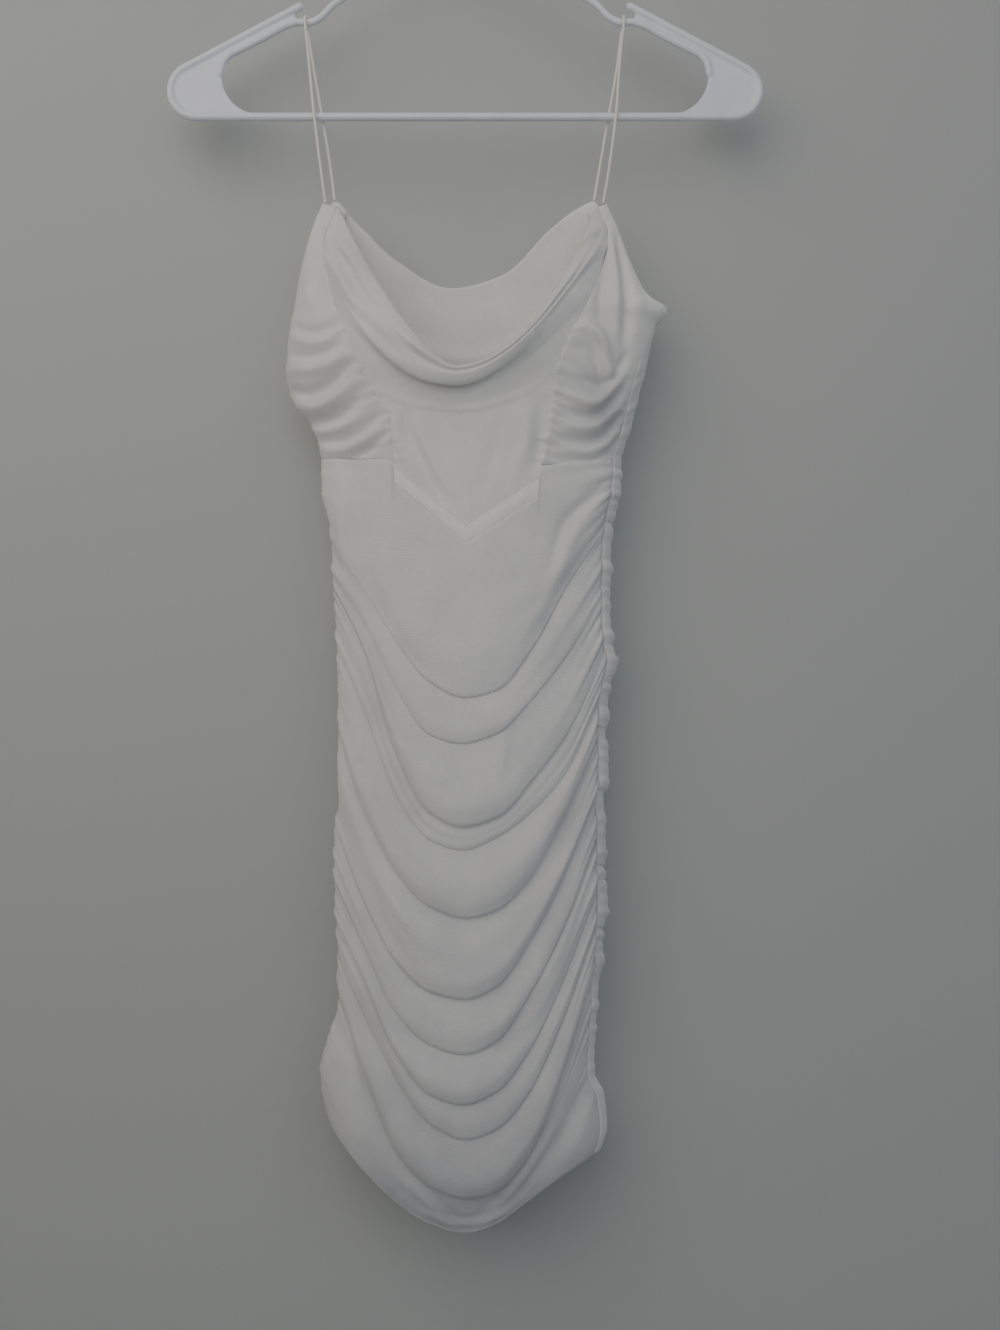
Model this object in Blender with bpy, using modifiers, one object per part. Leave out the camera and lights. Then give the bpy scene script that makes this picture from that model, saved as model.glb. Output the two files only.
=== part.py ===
"""A ruched bodycon dress with a cowl neck, hung by its shoulder straps from a plastic hanger.

Sizes are in millimetres and become metres as each mesh is made. The origin is the top of the
hook's inside, where a rod or nail carries the hanger. The front of the dress faces -Y, its
centre line is at X = 0, and the dress is turned a little, so that its right side seam lies
on the front.
"""

import math
from collections import namedtuple

import bmesh
import bpy

MM = 0.001

# The cloth: a doubled, gathered stretch mesh.
WALL = 1.4
SEAM_GAP = 0.35
CORD_RADIUS = 1.0

# The hanger, a tubular moulding.
HANGER_WIDTH = 420.0
BAR_HEIGHT = -221.0
BAR_RADIUS = 2.9
STRAND_RADIUS = 2.6
HOOK_RADIUS = 2.7
TIP_BEND = 18.2
ARM_SLOPE = math.radians(28.0)
NUB_X = 116.0
HOOK_BEND = 24.0
NECK_HEIGHT = -92.0
WEB_THICKNESS = 2.0
WEB_HOLE_X = 144.0
WEB_HOLE_HEIGHT = -192.0
WEB_HOLE_RADIUS = 27.0
WEB_HOLE_START = -78.0
WEB_HOLE_END = 57.0
HOOK_START = 218.0
HOOK_END = -35.0

# The dress: heights of its main seams at the centre front, and the side seams' places.
UNDERBUST = -462.0
V_POINT = -525.0
V_X = 2.2
V_LEFT = -48.5
V_RIGHT = 52.4
V_LEFT_HEIGHT = -484.0
V_RIGHT_HEIGHT = -492.0
V_STEP = 2.4
CUP_LOW_LEFT = -467.0
CUP_LOW_RIGHT = -471.0
BAND_WIDTH = 13.0
BAND_WALL = 1.0
BAND_RISE = 1.0
BAND_LEAN = 0.4
RIGHT_SEAM_ANGLE = 20.0
SEAM_TURN = 1.5
CUP_EASE = 0.7
UNDERARM = -357.0
UNDERARM_TURN = 40.0
CUP_TOP = -281.0
STRAP_ANGLE_RIGHT = -22.0
STRAP_ANGLE_LEFT = -158.0
BACK_FIRST_ANGLE = 5.0
RECESS = 5.0
FRONT_LIFT_FADE = 0.55
BACK_LIFT_FADE = 0.6
SMOOTH_ANGLE = math.radians(40.0)

# Half-sections of the body by height: outline to the left and right, depth to front and back.
Section = namedtuple("Section", "height left right front back")
BODY = (
    Section(-279, -99.0, 98.0, 2.5, 5.0),
    Section(-298, -107.0, 107.0, 9.0, 12.0),
    Section(-324, -114.0, 116.6, 23.0, 18.0),
    Section(-342, -117.5, 125.6, 32.0, 21.0),
    Section(-357, -120.0, 142.0, 37.0, 22.0),
    Section(-368, -122.5, 134.0, 40.0, 23.0),
    Section(-385, -124.5, 130.0, 42.0, 24.0),
    Section(-401, -125.0, 126.5, 41.0, 25.0),
    Section(-421, -120.5, 121.0, 37.0, 26.0),
    Section(-438, -107.5, 117.0, 34.0, 26.0),
    Section(-460, -100.8, 110.0, 30.0, 26.0),
    Section(-484, -100.4, 108.0, 28.0, 26.0),
    Section(-511, -94.0, 102.5, 27.0, 26.0),
    Section(-547, -91.8, 100.6, 27.0, 26.0),
    Section(-589, -89.5, 101.0, 29.0, 27.0),
    Section(-603, -89.0, 104.0, 30.0, 27.0),
    Section(-635, -88.0, 98.0, 32.0, 28.0),
    Section(-673, -88.6, 97.8, 34.0, 28.0),
    Section(-701, -86.8, 96.6, 35.0, 29.0),
    Section(-724, -90.6, 96.4, 35.0, 29.0),
    Section(-765, -90.4, 97.0, 36.0, 30.0),
    Section(-800, -88.6, 95.0, 36.0, 30.0),
    Section(-842, -88.0, 93.0, 36.0, 30.0),
    Section(-870, -96.0, 91.0, 36.0, 30.0),
    Section(-891, -101.3, 90.0, 36.0, 30.0),
    Section(-908, -99.6, 97.6, 35.0, 29.0),
    Section(-930, -93.0, 99.9, 34.0, 29.0),
    Section(-946, -86.0, 95.0, 33.0, 28.0),
    Section(-1000, -60.0, 66.0, 30.0, 27.0),
)

# Swags of the skirt: each is a line of cloth that is lowest near the centre and is caught up
# at the side seams. Lift is how far it stands out of the body there.
Swag = namedtuple("Swag", "low left right lift")
FRONT_SWAGS = (
    Swag(-628.0, -533.0, -505.0, 6.0),
    Swag(-657.0, -550.0, -561.0, 6.0),
    Swag(-712.0, -568.0, -600.0, 8.0),
    Swag(-731.0, -600.0, -652.0, 5.0),
    Swag(-774.0, -694.0, -664.0, 9.0),
    Swag(-829.0, -737.0, -705.0, 10.0),
    Swag(-866.5, -785.0, -751.0, 8.0),
    Swag(-900.0, -799.0, -796.0, 8.0),
    Swag(-923.5, -832.0, -812.0, 6.0),
    Swag(-963.5, -852.0, -840.0, 8.0),
    Swag(-991.0, -920.0, -945.0, 0.0),
)
BACK_SWAGS = (
    Swag(-560.0, -510.0, -505.0, 4.0),
    Swag(-622.0, -560.0, -561.0, 6.0),
    Swag(-680.0, -600.0, -620.0, 8.0),
    Swag(-744.0, -668.0, -664.0, 8.0),
    Swag(-800.0, -722.0, -705.0, 9.0),
    Swag(-851.0, -785.0, -758.0, 7.0),
    Swag(-890.0, -812.0, -800.0, 8.0),
    Swag(-946.0, -848.0, -838.0, 6.0),
    Swag(-984.0, -920.0, -945.0, 0.0),
)
LEFT_DROOP = 2.1
RIGHT_DROOP = 2.2

# Lines of cloth across the centre-front panel, from the underbust seam up to the cowl's roll,
# over its upper edge and down inside as the turned-in facing. Lift is out of the body.
Across = namedtuple(
    "Across",
    "low_x low left_x left left_bend right_x right right_bend lift end_lift",
)
CENTRE_FRONT = (
    Across(2.2, -525.0, -48.5, -484.0, 1.0, 52.4, -492.0, 1.0, 0.0, 0.0),
    Across(1.6, -490.0, -44.9, -464.7, 1.5, 53.7, -469.4, 1.5, 0.5, 0.0),
    Across(-0.2, -456.0, -51.1, -438.3, 2.0, 58.8, -445.7, 2.0, 1.0, 0.0),
    Across(-2.9, -434.0, -64.7, -417.2, 2.0, 64.6, -405.9, 2.0, 1.0, 0.0),
    Across(-3.5, -426.5, -79.2, -385.4, 2.2, 76.2, -376.7, 2.0, 2.0, 0.5),
    Across(-3.7, -422.5, -91.0, -350.0, 2.3, 91.0, -344.0, 1.8, 5.5, 1.0),
    Across(-3.9, -420.5, -98.4, -319.7, 2.3, 99.5, -312.0, 1.7, 10.0, 1.5),
    Across(-4.4, -415.0, -98.0, -308.0, 2.0, 99.6, -303.0, 1.8, 12.5, 3.0),
    Across(-5.0, -410.0, -93.0, -296.0, 1.7, 96.4, -294.0, 2.0, 10.0, 2.5),
    Across(-5.3, -408.0, -89.5, -285.6, 1.5, 93.2, -285.4, 2.1, 5.5, 0.8),
    Across(-5.2, -412.0, -87.0, -288.0, 1.5, 91.0, -287.9, 2.1, 1.5, -2.6),
    Across(-4.5, -424.0, -84.0, -300.0, 1.8, 88.0, -299.0, 2.1, -5.0, -6.5),
    Across(-3.5, -435.0, -79.0, -318.0, 2.0, 83.0, -318.0, 2.0, -6.0, -9.0),
)

# A cup's inner seam, up from the underbust, beside the centre-front panel's edge.
Point = namedtuple("Point", "x height")
LEFT_CUP_SEAM = (
    Point(-50.5, -466.0),
    Point(-52.5, -438.0),
    Point(-66.0, -417.0),
    Point(-80.3, -385.4),
    Point(-92.0, -350.0),
    Point(-99.2, -319.7),
    Point(-99.4, -308.0),
    Point(-94.4, -295.5),
    Point(-91.0, -284.6),
)
RIGHT_CUP_SEAM = (
    Point(55.2, -470.0),
    Point(60.2, -445.7),
    Point(66.0, -406.0),
    Point(77.4, -376.5),
    Point(92.0, -344.0),
    Point(100.5, -312.0),
    Point(100.8, -302.5),
    Point(97.6, -293.5),
    Point(94.6, -284.6),
)
# The gathers of the cups: from one end to the other through a middle point.
Fold = namedtuple("Fold", "x0 z0 x1 z1 x2 z2 lift width")
LEFT_CUP_FOLDS = (
    Fold(-121.0, -384.0, -103.0, -383.0, -80.0, -372.0, 6.0, 9.0),
    Fold(-119.0, -412.0, -104.0, -404.0, -88.0, -396.0, 4.0, 8.0),
    Fold(-104.0, -438.0, -84.0, -441.0, -56.0, -424.0, 8.0, 9.0),
    Fold(-97.0, -455.0, -78.0, -463.0, -54.0, -448.0, 5.0, 7.0),
)
RIGHT_CUP_FOLDS = (
    Fold(104.0, -300.0, 100.0, -335.0, 102.0, -365.0, 4.0, 8.0),
    Fold(76.0, -362.0, 88.0, -372.0, 101.0, -392.0, 5.0, 9.0),
    Fold(80.0, -424.0, 92.0, -412.0, 106.0, -390.0, 7.0, 9.0),
    Fold(72.0, -448.0, 90.0, -440.0, 112.0, -410.0, 6.0, 8.0),
)

# Upper edge of the back panel: angle round the body from the right, and height.
Edge = namedtuple("Edge", "angle height")
BACK_EDGE = (
    Edge(5.0, -358.0),
    Edge(-8.0, -326.0),
    Edge(-22.0, -279.5),
    Edge(-38.0, -284.0),
    Edge(-56.0, -297.0),
    Edge(-78.0, -327.0),
    Edge(-95.0, -335.0),
    Edge(-117.0, -316.0),
    Edge(-135.0, -295.0),
    Edge(-158.0, -279.5),
    Edge(-171.0, -322.0),
    Edge(-180.0, -364.0),
)

# Shares of the way from one swag down to the next, and the share of the lower one's lift there.
Swell = namedtuple("Swell", "share lift")
SWELLS = (Swell(0.5, 0.55), Swell(0.8, 0.92))
LIFT_UNDER_SWAG = 0.05

# The hanger's inner strand, from a tip up over the notch to the neck.
Turn = namedtuple("Turn", "x height")
STRAND = (
    Turn(163.0, -177.0),
    Turn(151.0, -170.3),
    Turn(138.0, -163.2),
    Turn(126.6, -157.0),
    Turn(117.5, -154.4),
    Turn(109.0, -154.6),
    Turn(101.0, -150.7),
    Turn(94.0, -143.5),
    Turn(85.0, -137.0),
    Turn(60.0, -123.2),
    Turn(30.0, -106.8),
    Turn(12.0, -97.0),
)
# The hook's stem, up to where its round part starts.
STEM = (
    Turn(0.0, NECK_HEIGHT - 0.7),
    Turn(0.0, -76.0),
    Turn(-2.5, -62.0),
    Turn(-10.5, -49.0),
)
# The corners of a tip's web that lie inside the frame and the strand.
WEB_OUTER_CORNER = Turn(119.0, -150.0)
WEB_INNER_CORNERS = (Turn(138.0, -163.2), Turn(120.0, -155.0))

# The straps: a cord from the cup, before the bar, over the notch and down behind it.
Place = namedtuple("Place", "x y height")
LEFT_STRAP = (
    Place(-98.2, -0.7, -281.1),
    Place(-101.0, -3.8, -258.0),
    Place(-105.5, -4.5, -221.0),
    Place(-109.0, -4.4, -185.0),
    Place(-111.6, -4.1, -159.0),
    Place(-112.2, -3.0, -152.6),
    Place(-112.2, 0.0, -150.7),
    Place(-112.0, 3.0, -152.6),
    Place(-111.2, 4.1, -159.0),
    Place(-106.2, 4.4, -190.0),
    Place(-100.8, 4.5, -221.0),
    Place(-96.3, 4.3, -248.0),
    Place(-91.9, 1.3, -278.9),
)
RIGHT_STRAP = (
    Place(97.4, -0.7, -281.2),
    Place(101.4, -3.8, -256.0),
    Place(105.8, -4.5, -221.0),
    Place(108.4, -4.4, -185.0),
    Place(111.0, -4.1, -159.0),
    Place(111.5, -3.0, -152.6),
    Place(111.5, 0.0, -150.7),
    Place(111.2, 3.0, -152.6),
    Place(110.6, 4.1, -159.0),
    Place(106.5, 4.4, -190.0),
    Place(101.0, 4.5, -221.0),
    Place(96.0, 4.3, -250.0),
    Place(90.9, 1.3, -278.9),
)

CENTRE_COLUMNS = 14
CUP_COLUMNS = 10
CUP_ROWS = 16
BACK_TOP_ROWS = 7
BACK_COLUMNS = (2, 12, 2)
FRONT_COLUMNS = (6, 1, 3, 3, 1, 5)
BAND_COLUMNS = 20
BAND_END = 0.98
FOLD_STEPS = 16
FOLD_ENDS = 0.12
TIP_STEPS = 12
HOOK_STEPS = 14
WEB_STEPS = 8


def clear_scene():
    for obj in list(bpy.data.objects):
        bpy.data.objects.remove(obj, do_unlink=True)
    for collection in list(bpy.data.collections):
        bpy.data.collections.remove(collection)


def new_collection(name):
    collection = bpy.data.collections.new(name)
    bpy.context.scene.collection.children.link(collection)
    return collection


def plain_material(name, colour, roughness):
    material = bpy.data.materials.new(name)
    material.use_nodes = True
    shader = material.node_tree.nodes["Principled BSDF"]
    shader.inputs["Base Color"].default_value = (*colour, 1.0)
    shader.inputs["Roughness"].default_value = roughness
    shader.inputs["Metallic"].default_value = 0.0
    material.diffuse_color = (*colour, 1.0)
    return material


def clamp(value, lowest, highest):
    return max(lowest, min(highest, value))


def mix(a, b, share):
    return a + (b - a) * share


def slopes(xs, ys):
    """Slopes of a smooth curve through the points that never overshoots them."""
    steps = [(y1 - y0) / (x1 - x0) for x0, x1, y0, y1 in zip(xs, xs[1:], ys, ys[1:])]
    found = [steps[0]]
    for before, after in zip(steps, steps[1:]):
        level = before * after <= 0.0
        found.append(0.0 if level else 2.0 * before * after / (before + after))
    return found + [steps[-1]]


def smooth(xs, ys, x):
    """The value at x of a smooth curve through the points, with xs increasing."""
    x = clamp(x, xs[0], xs[-1])
    i = max(k for k in range(len(xs) - 1) if k == 0 or xs[k] <= x)
    found = slopes(xs, ys)
    span = xs[i + 1] - xs[i]
    t = (x - xs[i]) / span
    return (
        (1.0 + 2.0 * t) * (1.0 - t) ** 2 * ys[i]
        + t * (1.0 - t) ** 2 * span * found[i]
        + t * t * (3.0 - 2.0 * t) * ys[i + 1]
        + t * t * (t - 1.0) * span * found[i + 1]
    )


def column(table, name, at, along="height"):
    """One column of a table, read smoothly at a value of another column."""
    rows = sorted(table, key=lambda row: getattr(row, along))
    xs = [getattr(row, along) for row in rows]
    ys = [getattr(row, name) for row in rows]
    return smooth(xs, ys, at)


def skin(angle, height, lift=0.0, left_height=None, right_height=None):
    """A point on the body: angle in degrees from +X towards the front, lifted outwards.

    The outline may be read at another height than the point's own, as for a drooping swag.
    """
    turn = math.radians(angle)
    right = column(BODY, "right", height if right_height is None else right_height)
    left = column(BODY, "left", height if left_height is None else left_height)
    half = right if math.cos(turn) > 0.0 else -left
    depth = column(BODY, "front" if math.sin(turn) > 0.0 else "back", height)
    x = half * math.cos(turn)
    y = -depth * math.sin(turn)
    across, out = math.cos(turn) / half, -math.sin(turn) / depth
    length = math.hypot(across, out)
    return (x + lift * across / length, y + lift * out / length, height)


def skin_at(x, height, lift=0.0):
    """The point of the body's front at a place across it."""
    return skin(angle_at(x, height), height, lift)


def angle_at(x, height):
    """The angle round the body's front of a place across it."""
    half = column(BODY, "right" if x > 0.0 else "left", height)
    return math.degrees(math.acos(clamp(x / abs(half), -1.0, 1.0)))


V_LEFT_ANGLE = angle_at(V_LEFT, UNDERBUST)
V_ANGLE = angle_at(V_X, UNDERBUST)
V_RIGHT_ANGLE = angle_at(V_RIGHT, UNDERBUST)


def right_seam_angle(height):
    """The side seam starts at the outline under the arm and turns on to the front."""
    return RIGHT_SEAM_ANGLE * clamp((UNDERARM - height) / UNDERARM_TURN, 0.0, 1.0)


def droop(share, bend):
    return abs(share) ** bend


def smooth_path(places, steps):
    """Points of a smooth curve through the places."""
    found = []
    ends = [places[0]] + list(places) + [places[-1]]
    for a, b, c, d in zip(ends, ends[1:], ends[2:], ends[3:]):
        for step in range(steps):
            t = step / steps
            found.append(
                tuple(
                    0.5
                    * (
                        2.0 * q
                        + (r - p) * t
                        + (2.0 * p - 5.0 * q + 4.0 * r - s) * t * t
                        + (3.0 * q - p - 3.0 * r + s) * t**3
                    )
                    for p, q, r, s in zip(a, b, c, d)
                )
            )
    return found + [tuple(places[-1])]


def smooth_shade(obj):
    obj.data.shade_smooth()
    obj.data.set_sharp_from_angle(angle=SMOOTH_ANGLE)


def finish(obj, collection, material):
    collection.objects.link(obj)
    obj.data.materials.append(material)
    if obj.type == "MESH":
        smooth_shade(obj)
    return obj


def sheet(name, grid, wall, collection, material):
    """A cloth wall on rows of points, top row first; it thickens inwards."""
    mesh = bmesh.new()
    rows = [[mesh.verts.new([c * MM for c in point]) for point in row] for row in grid]
    for upper, lower in zip(rows, rows[1:]):
        for i in range(len(upper) - 1):
            mesh.faces.new((upper[i], lower[i], lower[i + 1], upper[i + 1]))
    data = bpy.data.meshes.new(name)
    mesh.to_mesh(data)
    mesh.free()
    obj = bpy.data.objects.new(name, data)
    solidify = obj.modifiers.new("wall", "SOLIDIFY")
    solidify.thickness = wall * MM
    solidify.offset = -1.0
    return finish(obj, collection, material)


def tube(name, points, radius, sides):
    """A round tube with closed ends along the points."""
    curve = bpy.data.curves.new(name, "CURVE")
    curve.dimensions = "3D"
    curve.bevel_depth = radius * MM
    curve.bevel_resolution = sides
    curve.use_fill_caps = True
    spline = curve.splines.new("POLY")
    spline.points.add(len(points) - 1)
    for target, point in zip(spline.points, points):
        target.co = (*[c * MM for c in point], 1.0)
    return bpy.data.objects.new(name, curve)


def solid_copy(obj, name):
    """The mesh of a curve object with its caps welded; the curve goes."""
    bpy.context.scene.collection.objects.link(obj)
    bpy.context.view_layer.update()
    graph = bpy.context.evaluated_depsgraph_get()
    data = bpy.data.meshes.new_from_object(obj.evaluated_get(graph))
    mesh = bmesh.new()
    mesh.from_mesh(data)
    bmesh.ops.remove_doubles(mesh, verts=mesh.verts, dist=1e-6)
    bmesh.ops.recalc_face_normals(mesh, faces=mesh.faces)
    mesh.to_mesh(data)
    mesh.free()
    place = obj.matrix_world.copy()
    bpy.data.objects.remove(obj, do_unlink=True)
    solid = bpy.data.objects.new(name, data)
    solid.matrix_world = place
    return solid


def front_skirt_angles():
    """Columns of the front skirt from left to right, with one at each corner of the V."""
    left = 180.0 - SEAM_TURN
    right = RIGHT_SEAM_ANGLE + SEAM_TURN
    corners = (left, V_LEFT_ANGLE + V_STEP, V_LEFT_ANGLE, V_ANGLE)
    corners += (V_RIGHT_ANGLE, V_RIGHT_ANGLE - V_STEP, right)
    found = []
    for start, end, count in zip(corners, corners[1:], FRONT_COLUMNS):
        found += [mix(start, end, k / count) for k in range(count)]
    return found + [right]


def front_skirt_seam(angle):
    """Height of the skirt's upper edge: level under the cups and a V between them."""
    if angle > V_LEFT_ANGLE:
        share = (angle - V_LEFT_ANGLE) / (180.0 - V_LEFT_ANGLE)
        return mix(CUP_LOW_LEFT, UNDERBUST, share)
    if angle < V_RIGHT_ANGLE:
        share = (V_RIGHT_ANGLE - angle) / V_RIGHT_ANGLE
        return mix(CUP_LOW_RIGHT, UNDERBUST, share)
    x = skin(angle, UNDERBUST)[0] - V_X
    if x < 0.0:
        return mix(V_POINT, V_LEFT_HEIGHT, x / (V_LEFT - V_X))
    return mix(V_POINT, V_RIGHT_HEIGHT, x / (V_RIGHT - V_X))


def swag_height(swag, angle, end_angle):
    """Height of a swag's line at an angle round the body, caught up at both side seams."""
    if math.cos(math.radians(angle)) > 0.0:
        share = math.cos(math.radians(angle)) / math.cos(math.radians(end_angle))
        return mix(swag.low, swag.right, droop(share, RIGHT_DROOP))
    return mix(swag.low, swag.left, droop(math.cos(math.radians(angle)), LEFT_DROOP))


def rows_between(swags, first_lift):
    """Rows of the mesh from one swag to the next: (index, share of the way, lift).

    Under a swag the cloth falls back, then swells out again to the next one.
    """
    rows = []
    lift = first_lift
    for i, (upper, lower) in enumerate(zip(swags, swags[1:])):
        depth = upper.low - lower.low
        back = clamp(RECESS / depth, 0.05, 0.3)
        rows.append((i, 0.0, lift))
        rows.append((i, back, LIFT_UNDER_SWAG * lift))
        for swell in SWELLS:
            rows.append((i, swell.share, swell.lift * lower.lift))
        lift = lower.lift
    rows.append((len(swags) - 2, 1.0, lift))
    return rows


def front_skirt_grid():
    seam = Swag(V_POINT, UNDERBUST, UNDERBUST, 0.0)
    swags = (seam,) + FRONT_SWAGS
    grid = []
    for i, share, lift in rows_between(swags, 0.0):
        upper, lower = swags[i], swags[i + 1]
        left = mix(upper.left, lower.left, share)
        right = mix(upper.right, lower.right, share)
        row = []
        for angle in front_skirt_angles():
            low = swag_height(lower, angle, RIGHT_SEAM_ANGLE)
            if i == 0:
                high = front_skirt_seam(angle) - 2.0 * SEAM_GAP
            else:
                high = swag_height(upper, angle, RIGHT_SEAM_ANGLE)
            fade = 1.0 - FRONT_LIFT_FADE * math.cos(math.radians(angle)) ** 2
            row.append(skin(angle, mix(high, low, share), lift * fade, left, right))
        grid.append(row)
    return grid


def back_angles():
    """Columns of the back panel, with one at each strap."""
    corners = (BACK_FIRST_ANGLE, STRAP_ANGLE_RIGHT, STRAP_ANGLE_LEFT, -180.0)
    found = []
    for start, end, count in zip(corners, corners[1:], BACK_COLUMNS):
        found += [mix(start, end, k / count) for k in range(count)]
    return found + [-180.0]


def back_panel_grid():
    grid = []
    for k in range(BACK_TOP_ROWS):
        row = []
        for angle in back_angles():
            top = column(BACK_EDGE, "height", angle, "angle")
            height = mix(top, UNDERBUST, k / BACK_TOP_ROWS)
            row.append(skin(seamward(angle, height), height))
        grid.append(row)
    waist = Swag(UNDERBUST, UNDERBUST, UNDERBUST, 0.0)
    swags = (waist,) + BACK_SWAGS
    for i, share, lift in rows_between(swags, 0.0):
        upper, lower = swags[i], swags[i + 1]
        left = mix(upper.left, lower.left, share)
        right = mix(upper.right, lower.right, share)
        row = []
        for angle in back_angles():
            high = back_height(upper, angle)
            low = back_height(lower, angle)
            fade = 1.0 - BACK_LIFT_FADE * math.cos(math.radians(angle)) ** 2
            turned = seamward(angle, mix(high, low, share))
            row.append(skin(turned, mix(high, low, share), lift * fade, left, right))
        grid.append(row)
    return grid


def seamward(angle, height):
    """Moves the first columns round to the right side seam, a gap short of the front."""
    seam = right_seam_angle(height) - SEAM_TURN
    strap = STRAP_ANGLE_RIGHT
    if angle < strap:
        return max(angle, SEAM_TURN - 180.0)
    return mix(strap, seam, (angle - strap) / (BACK_FIRST_ANGLE - strap))


def back_height(swag, angle):
    right_side = angle > -90.0
    start = BACK_FIRST_ANGLE if right_side else -180.0
    share = math.sin(math.radians(90.0 * (angle + 90.0) / (start + 90.0)))
    end = swag.right if right_side else swag.left
    return mix(swag.low, end, droop(share, RIGHT_DROOP if right_side else LEFT_DROOP))


def across_point(line, share, lift_more=0.0):
    """A point of a line across the centre front, share from -1 at its left to 1."""
    if share < 0.0:
        x = mix(line.low_x, line.left_x, -share)
        height = mix(line.low, line.left, droop(share, line.left_bend))
    else:
        x = mix(line.low_x, line.right_x, share)
        height = mix(line.low, line.right, droop(share, line.right_bend))
    lift = mix(line.lift, line.end_lift, share * share) + lift_more
    return skin_at(x, height, lift)


def middle_row(row, other):
    return [tuple(mix(a, b, 0.5) for a, b in zip(p, q)) for p, q in zip(row, other)]


def centre_front_grid():
    grid = []
    shares = [mix(-1.0, 1.0, j / CENTRE_COLUMNS) for j in range(CENTRE_COLUMNS + 1)]
    for line in CENTRE_FRONT:
        row = [across_point(line, share) for share in shares]
        if grid:
            grid.append(middle_row(grid[-1], row))
        grid.append(row)
    return grid[::-1]


def band_grid():
    """The doubled allowance of the V seam, made from the centre front's points."""
    lower, upper = [], []
    seam = CENTRE_FRONT[0]
    for j in range(BAND_COLUMNS + 1):
        share = mix(-BAND_END, BAND_END, j / BAND_COLUMNS)
        x, _, height = across_point(seam, share)
        low = height + BAND_RISE
        lower.append(skin_at(x, low, BAND_WALL + SEAM_GAP))
        upper.append(skin_at(x, low + BAND_WIDTH, BAND_WALL + SEAM_GAP + BAND_LEAN))
    return [upper, middle_row(upper, lower), lower]


def bezier(fold, t):
    x = mix(mix(fold.x0, fold.x1, t), mix(fold.x1, fold.x2, t), t)
    height = mix(mix(fold.z0, fold.z1, t), mix(fold.z1, fold.z2, t), t)
    return x, height


def fold_lift(folds, x, height):
    """How far the gathers raise the cloth at a place."""
    total = 0.0
    for fold in folds:
        reach = []
        for k in range(FOLD_STEPS + 1):
            fx, fz = bezier(fold, k / FOLD_STEPS)
            reach.append((math.hypot(x - fx, height - fz), k / FOLD_STEPS))
        distance, along = min(reach)
        fade = math.sin(math.pi * mix(FOLD_ENDS, 1.0 - FOLD_ENDS, along))
        total = max(total, fold.lift * fade * math.exp(-((distance / fold.width) ** 2)))
    return total


def cup_grid(seam, folds, side):
    """A cup from its outer edge to its inner seam, side -1 at the left and 1 at the right."""
    grid = []
    top, bottom = seam[-1], seam[0]
    for k in range(CUP_ROWS + 1):
        share = k / CUP_ROWS
        inner_height = mix(top.height, bottom.height, share)
        inner_x = column(seam, "x", inner_height) + side * CUP_EASE
        outer_height = mix(CUP_TOP, UNDERBUST + SEAM_GAP, share)
        angle_out = 180.0 - SEAM_TURN
        if side > 0:
            angle_out = right_seam_angle(outer_height) + 1.5 * SEAM_TURN
        angle_in = angle_at(inner_x, inner_height)
        row = []
        for j in range(CUP_COLUMNS):
            way = j / CUP_COLUMNS
            angle = mix(angle_out, angle_in, way)
            height = mix(outer_height, inner_height, way)
            x = skin(angle, height)[0]
            edge = math.sin(math.pi * way) ** 0.5
            row.append(skin(angle, height, fold_lift(folds, x, height) * edge))
        row.append(skin_at(inner_x, inner_height))
        grid.append(row if side < 0 else row[::-1])
    return grid


def build_hanger(collection, material):
    frame = []
    tip_x = HANGER_WIDTH / 2.0 - BAR_RADIUS - TIP_BEND
    tip_height = BAR_HEIGHT + TIP_BEND
    for side in (-1.0, 1.0):
        arc = []
        for k in range(TIP_STEPS + 1):
            turn = mix(ARM_SLOPE, math.pi, k / TIP_STEPS)
            x = side * (tip_x + TIP_BEND * math.sin(turn))
            arc.append((x, 0.0, tip_height + TIP_BEND * math.cos(turn)))
        start = arc[0]
        rise = (abs(start[0]) - NUB_X) * math.tan(ARM_SLOPE)
        nub = (side * NUB_X, 0.0, start[2] + rise)
        half = [nub] + arc
        frame += half if side < 0.0 else half[::-1]
    bodies = [solid_copy(tube("frame", frame, BAR_RADIUS, 3), "hanger")]

    strand = [(-turn.x, 0.0, turn.height) for turn in STRAND] + [(0.0, 0.0, NECK_HEIGHT)]
    strand += [(turn.x, 0.0, turn.height) for turn in STRAND[::-1]]
    bodies.append(solid_copy(tube("strand", smooth_path(strand, 3), STRAND_RADIUS, 3), "strand"))

    hook_height = HOOK_RADIUS - HOOK_BEND
    hook = [(turn.x, 0.0, turn.height) for turn in STEM]
    for k in range(HOOK_STEPS + 1):
        turn = math.radians(mix(HOOK_START, HOOK_END, k / HOOK_STEPS))
        x, rise = HOOK_BEND * math.cos(turn), HOOK_BEND * math.sin(turn)
        hook.append((x, 0.0, hook_height + rise))
    bodies.append(solid_copy(tube("hook", smooth_path(hook, 2), HOOK_RADIUS, 3), "hook"))

    for side in (-1.0, 1.0):
        bodies.append(web(side, tip_x, tip_height))
    hanger = bodies[0]
    collection.objects.link(hanger)
    cutters = bpy.data.collections["joined pieces"]
    for other in bodies[1:]:
        cutters.objects.link(other)
        other.hide_render = True
        other.display_type = "WIRE"
        union = hanger.modifiers.new(other.name, "BOOLEAN")
        union.operation = "UNION"
        union.object = other
    hanger.data.materials.append(material)
    smooth_shade(hanger)


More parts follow.
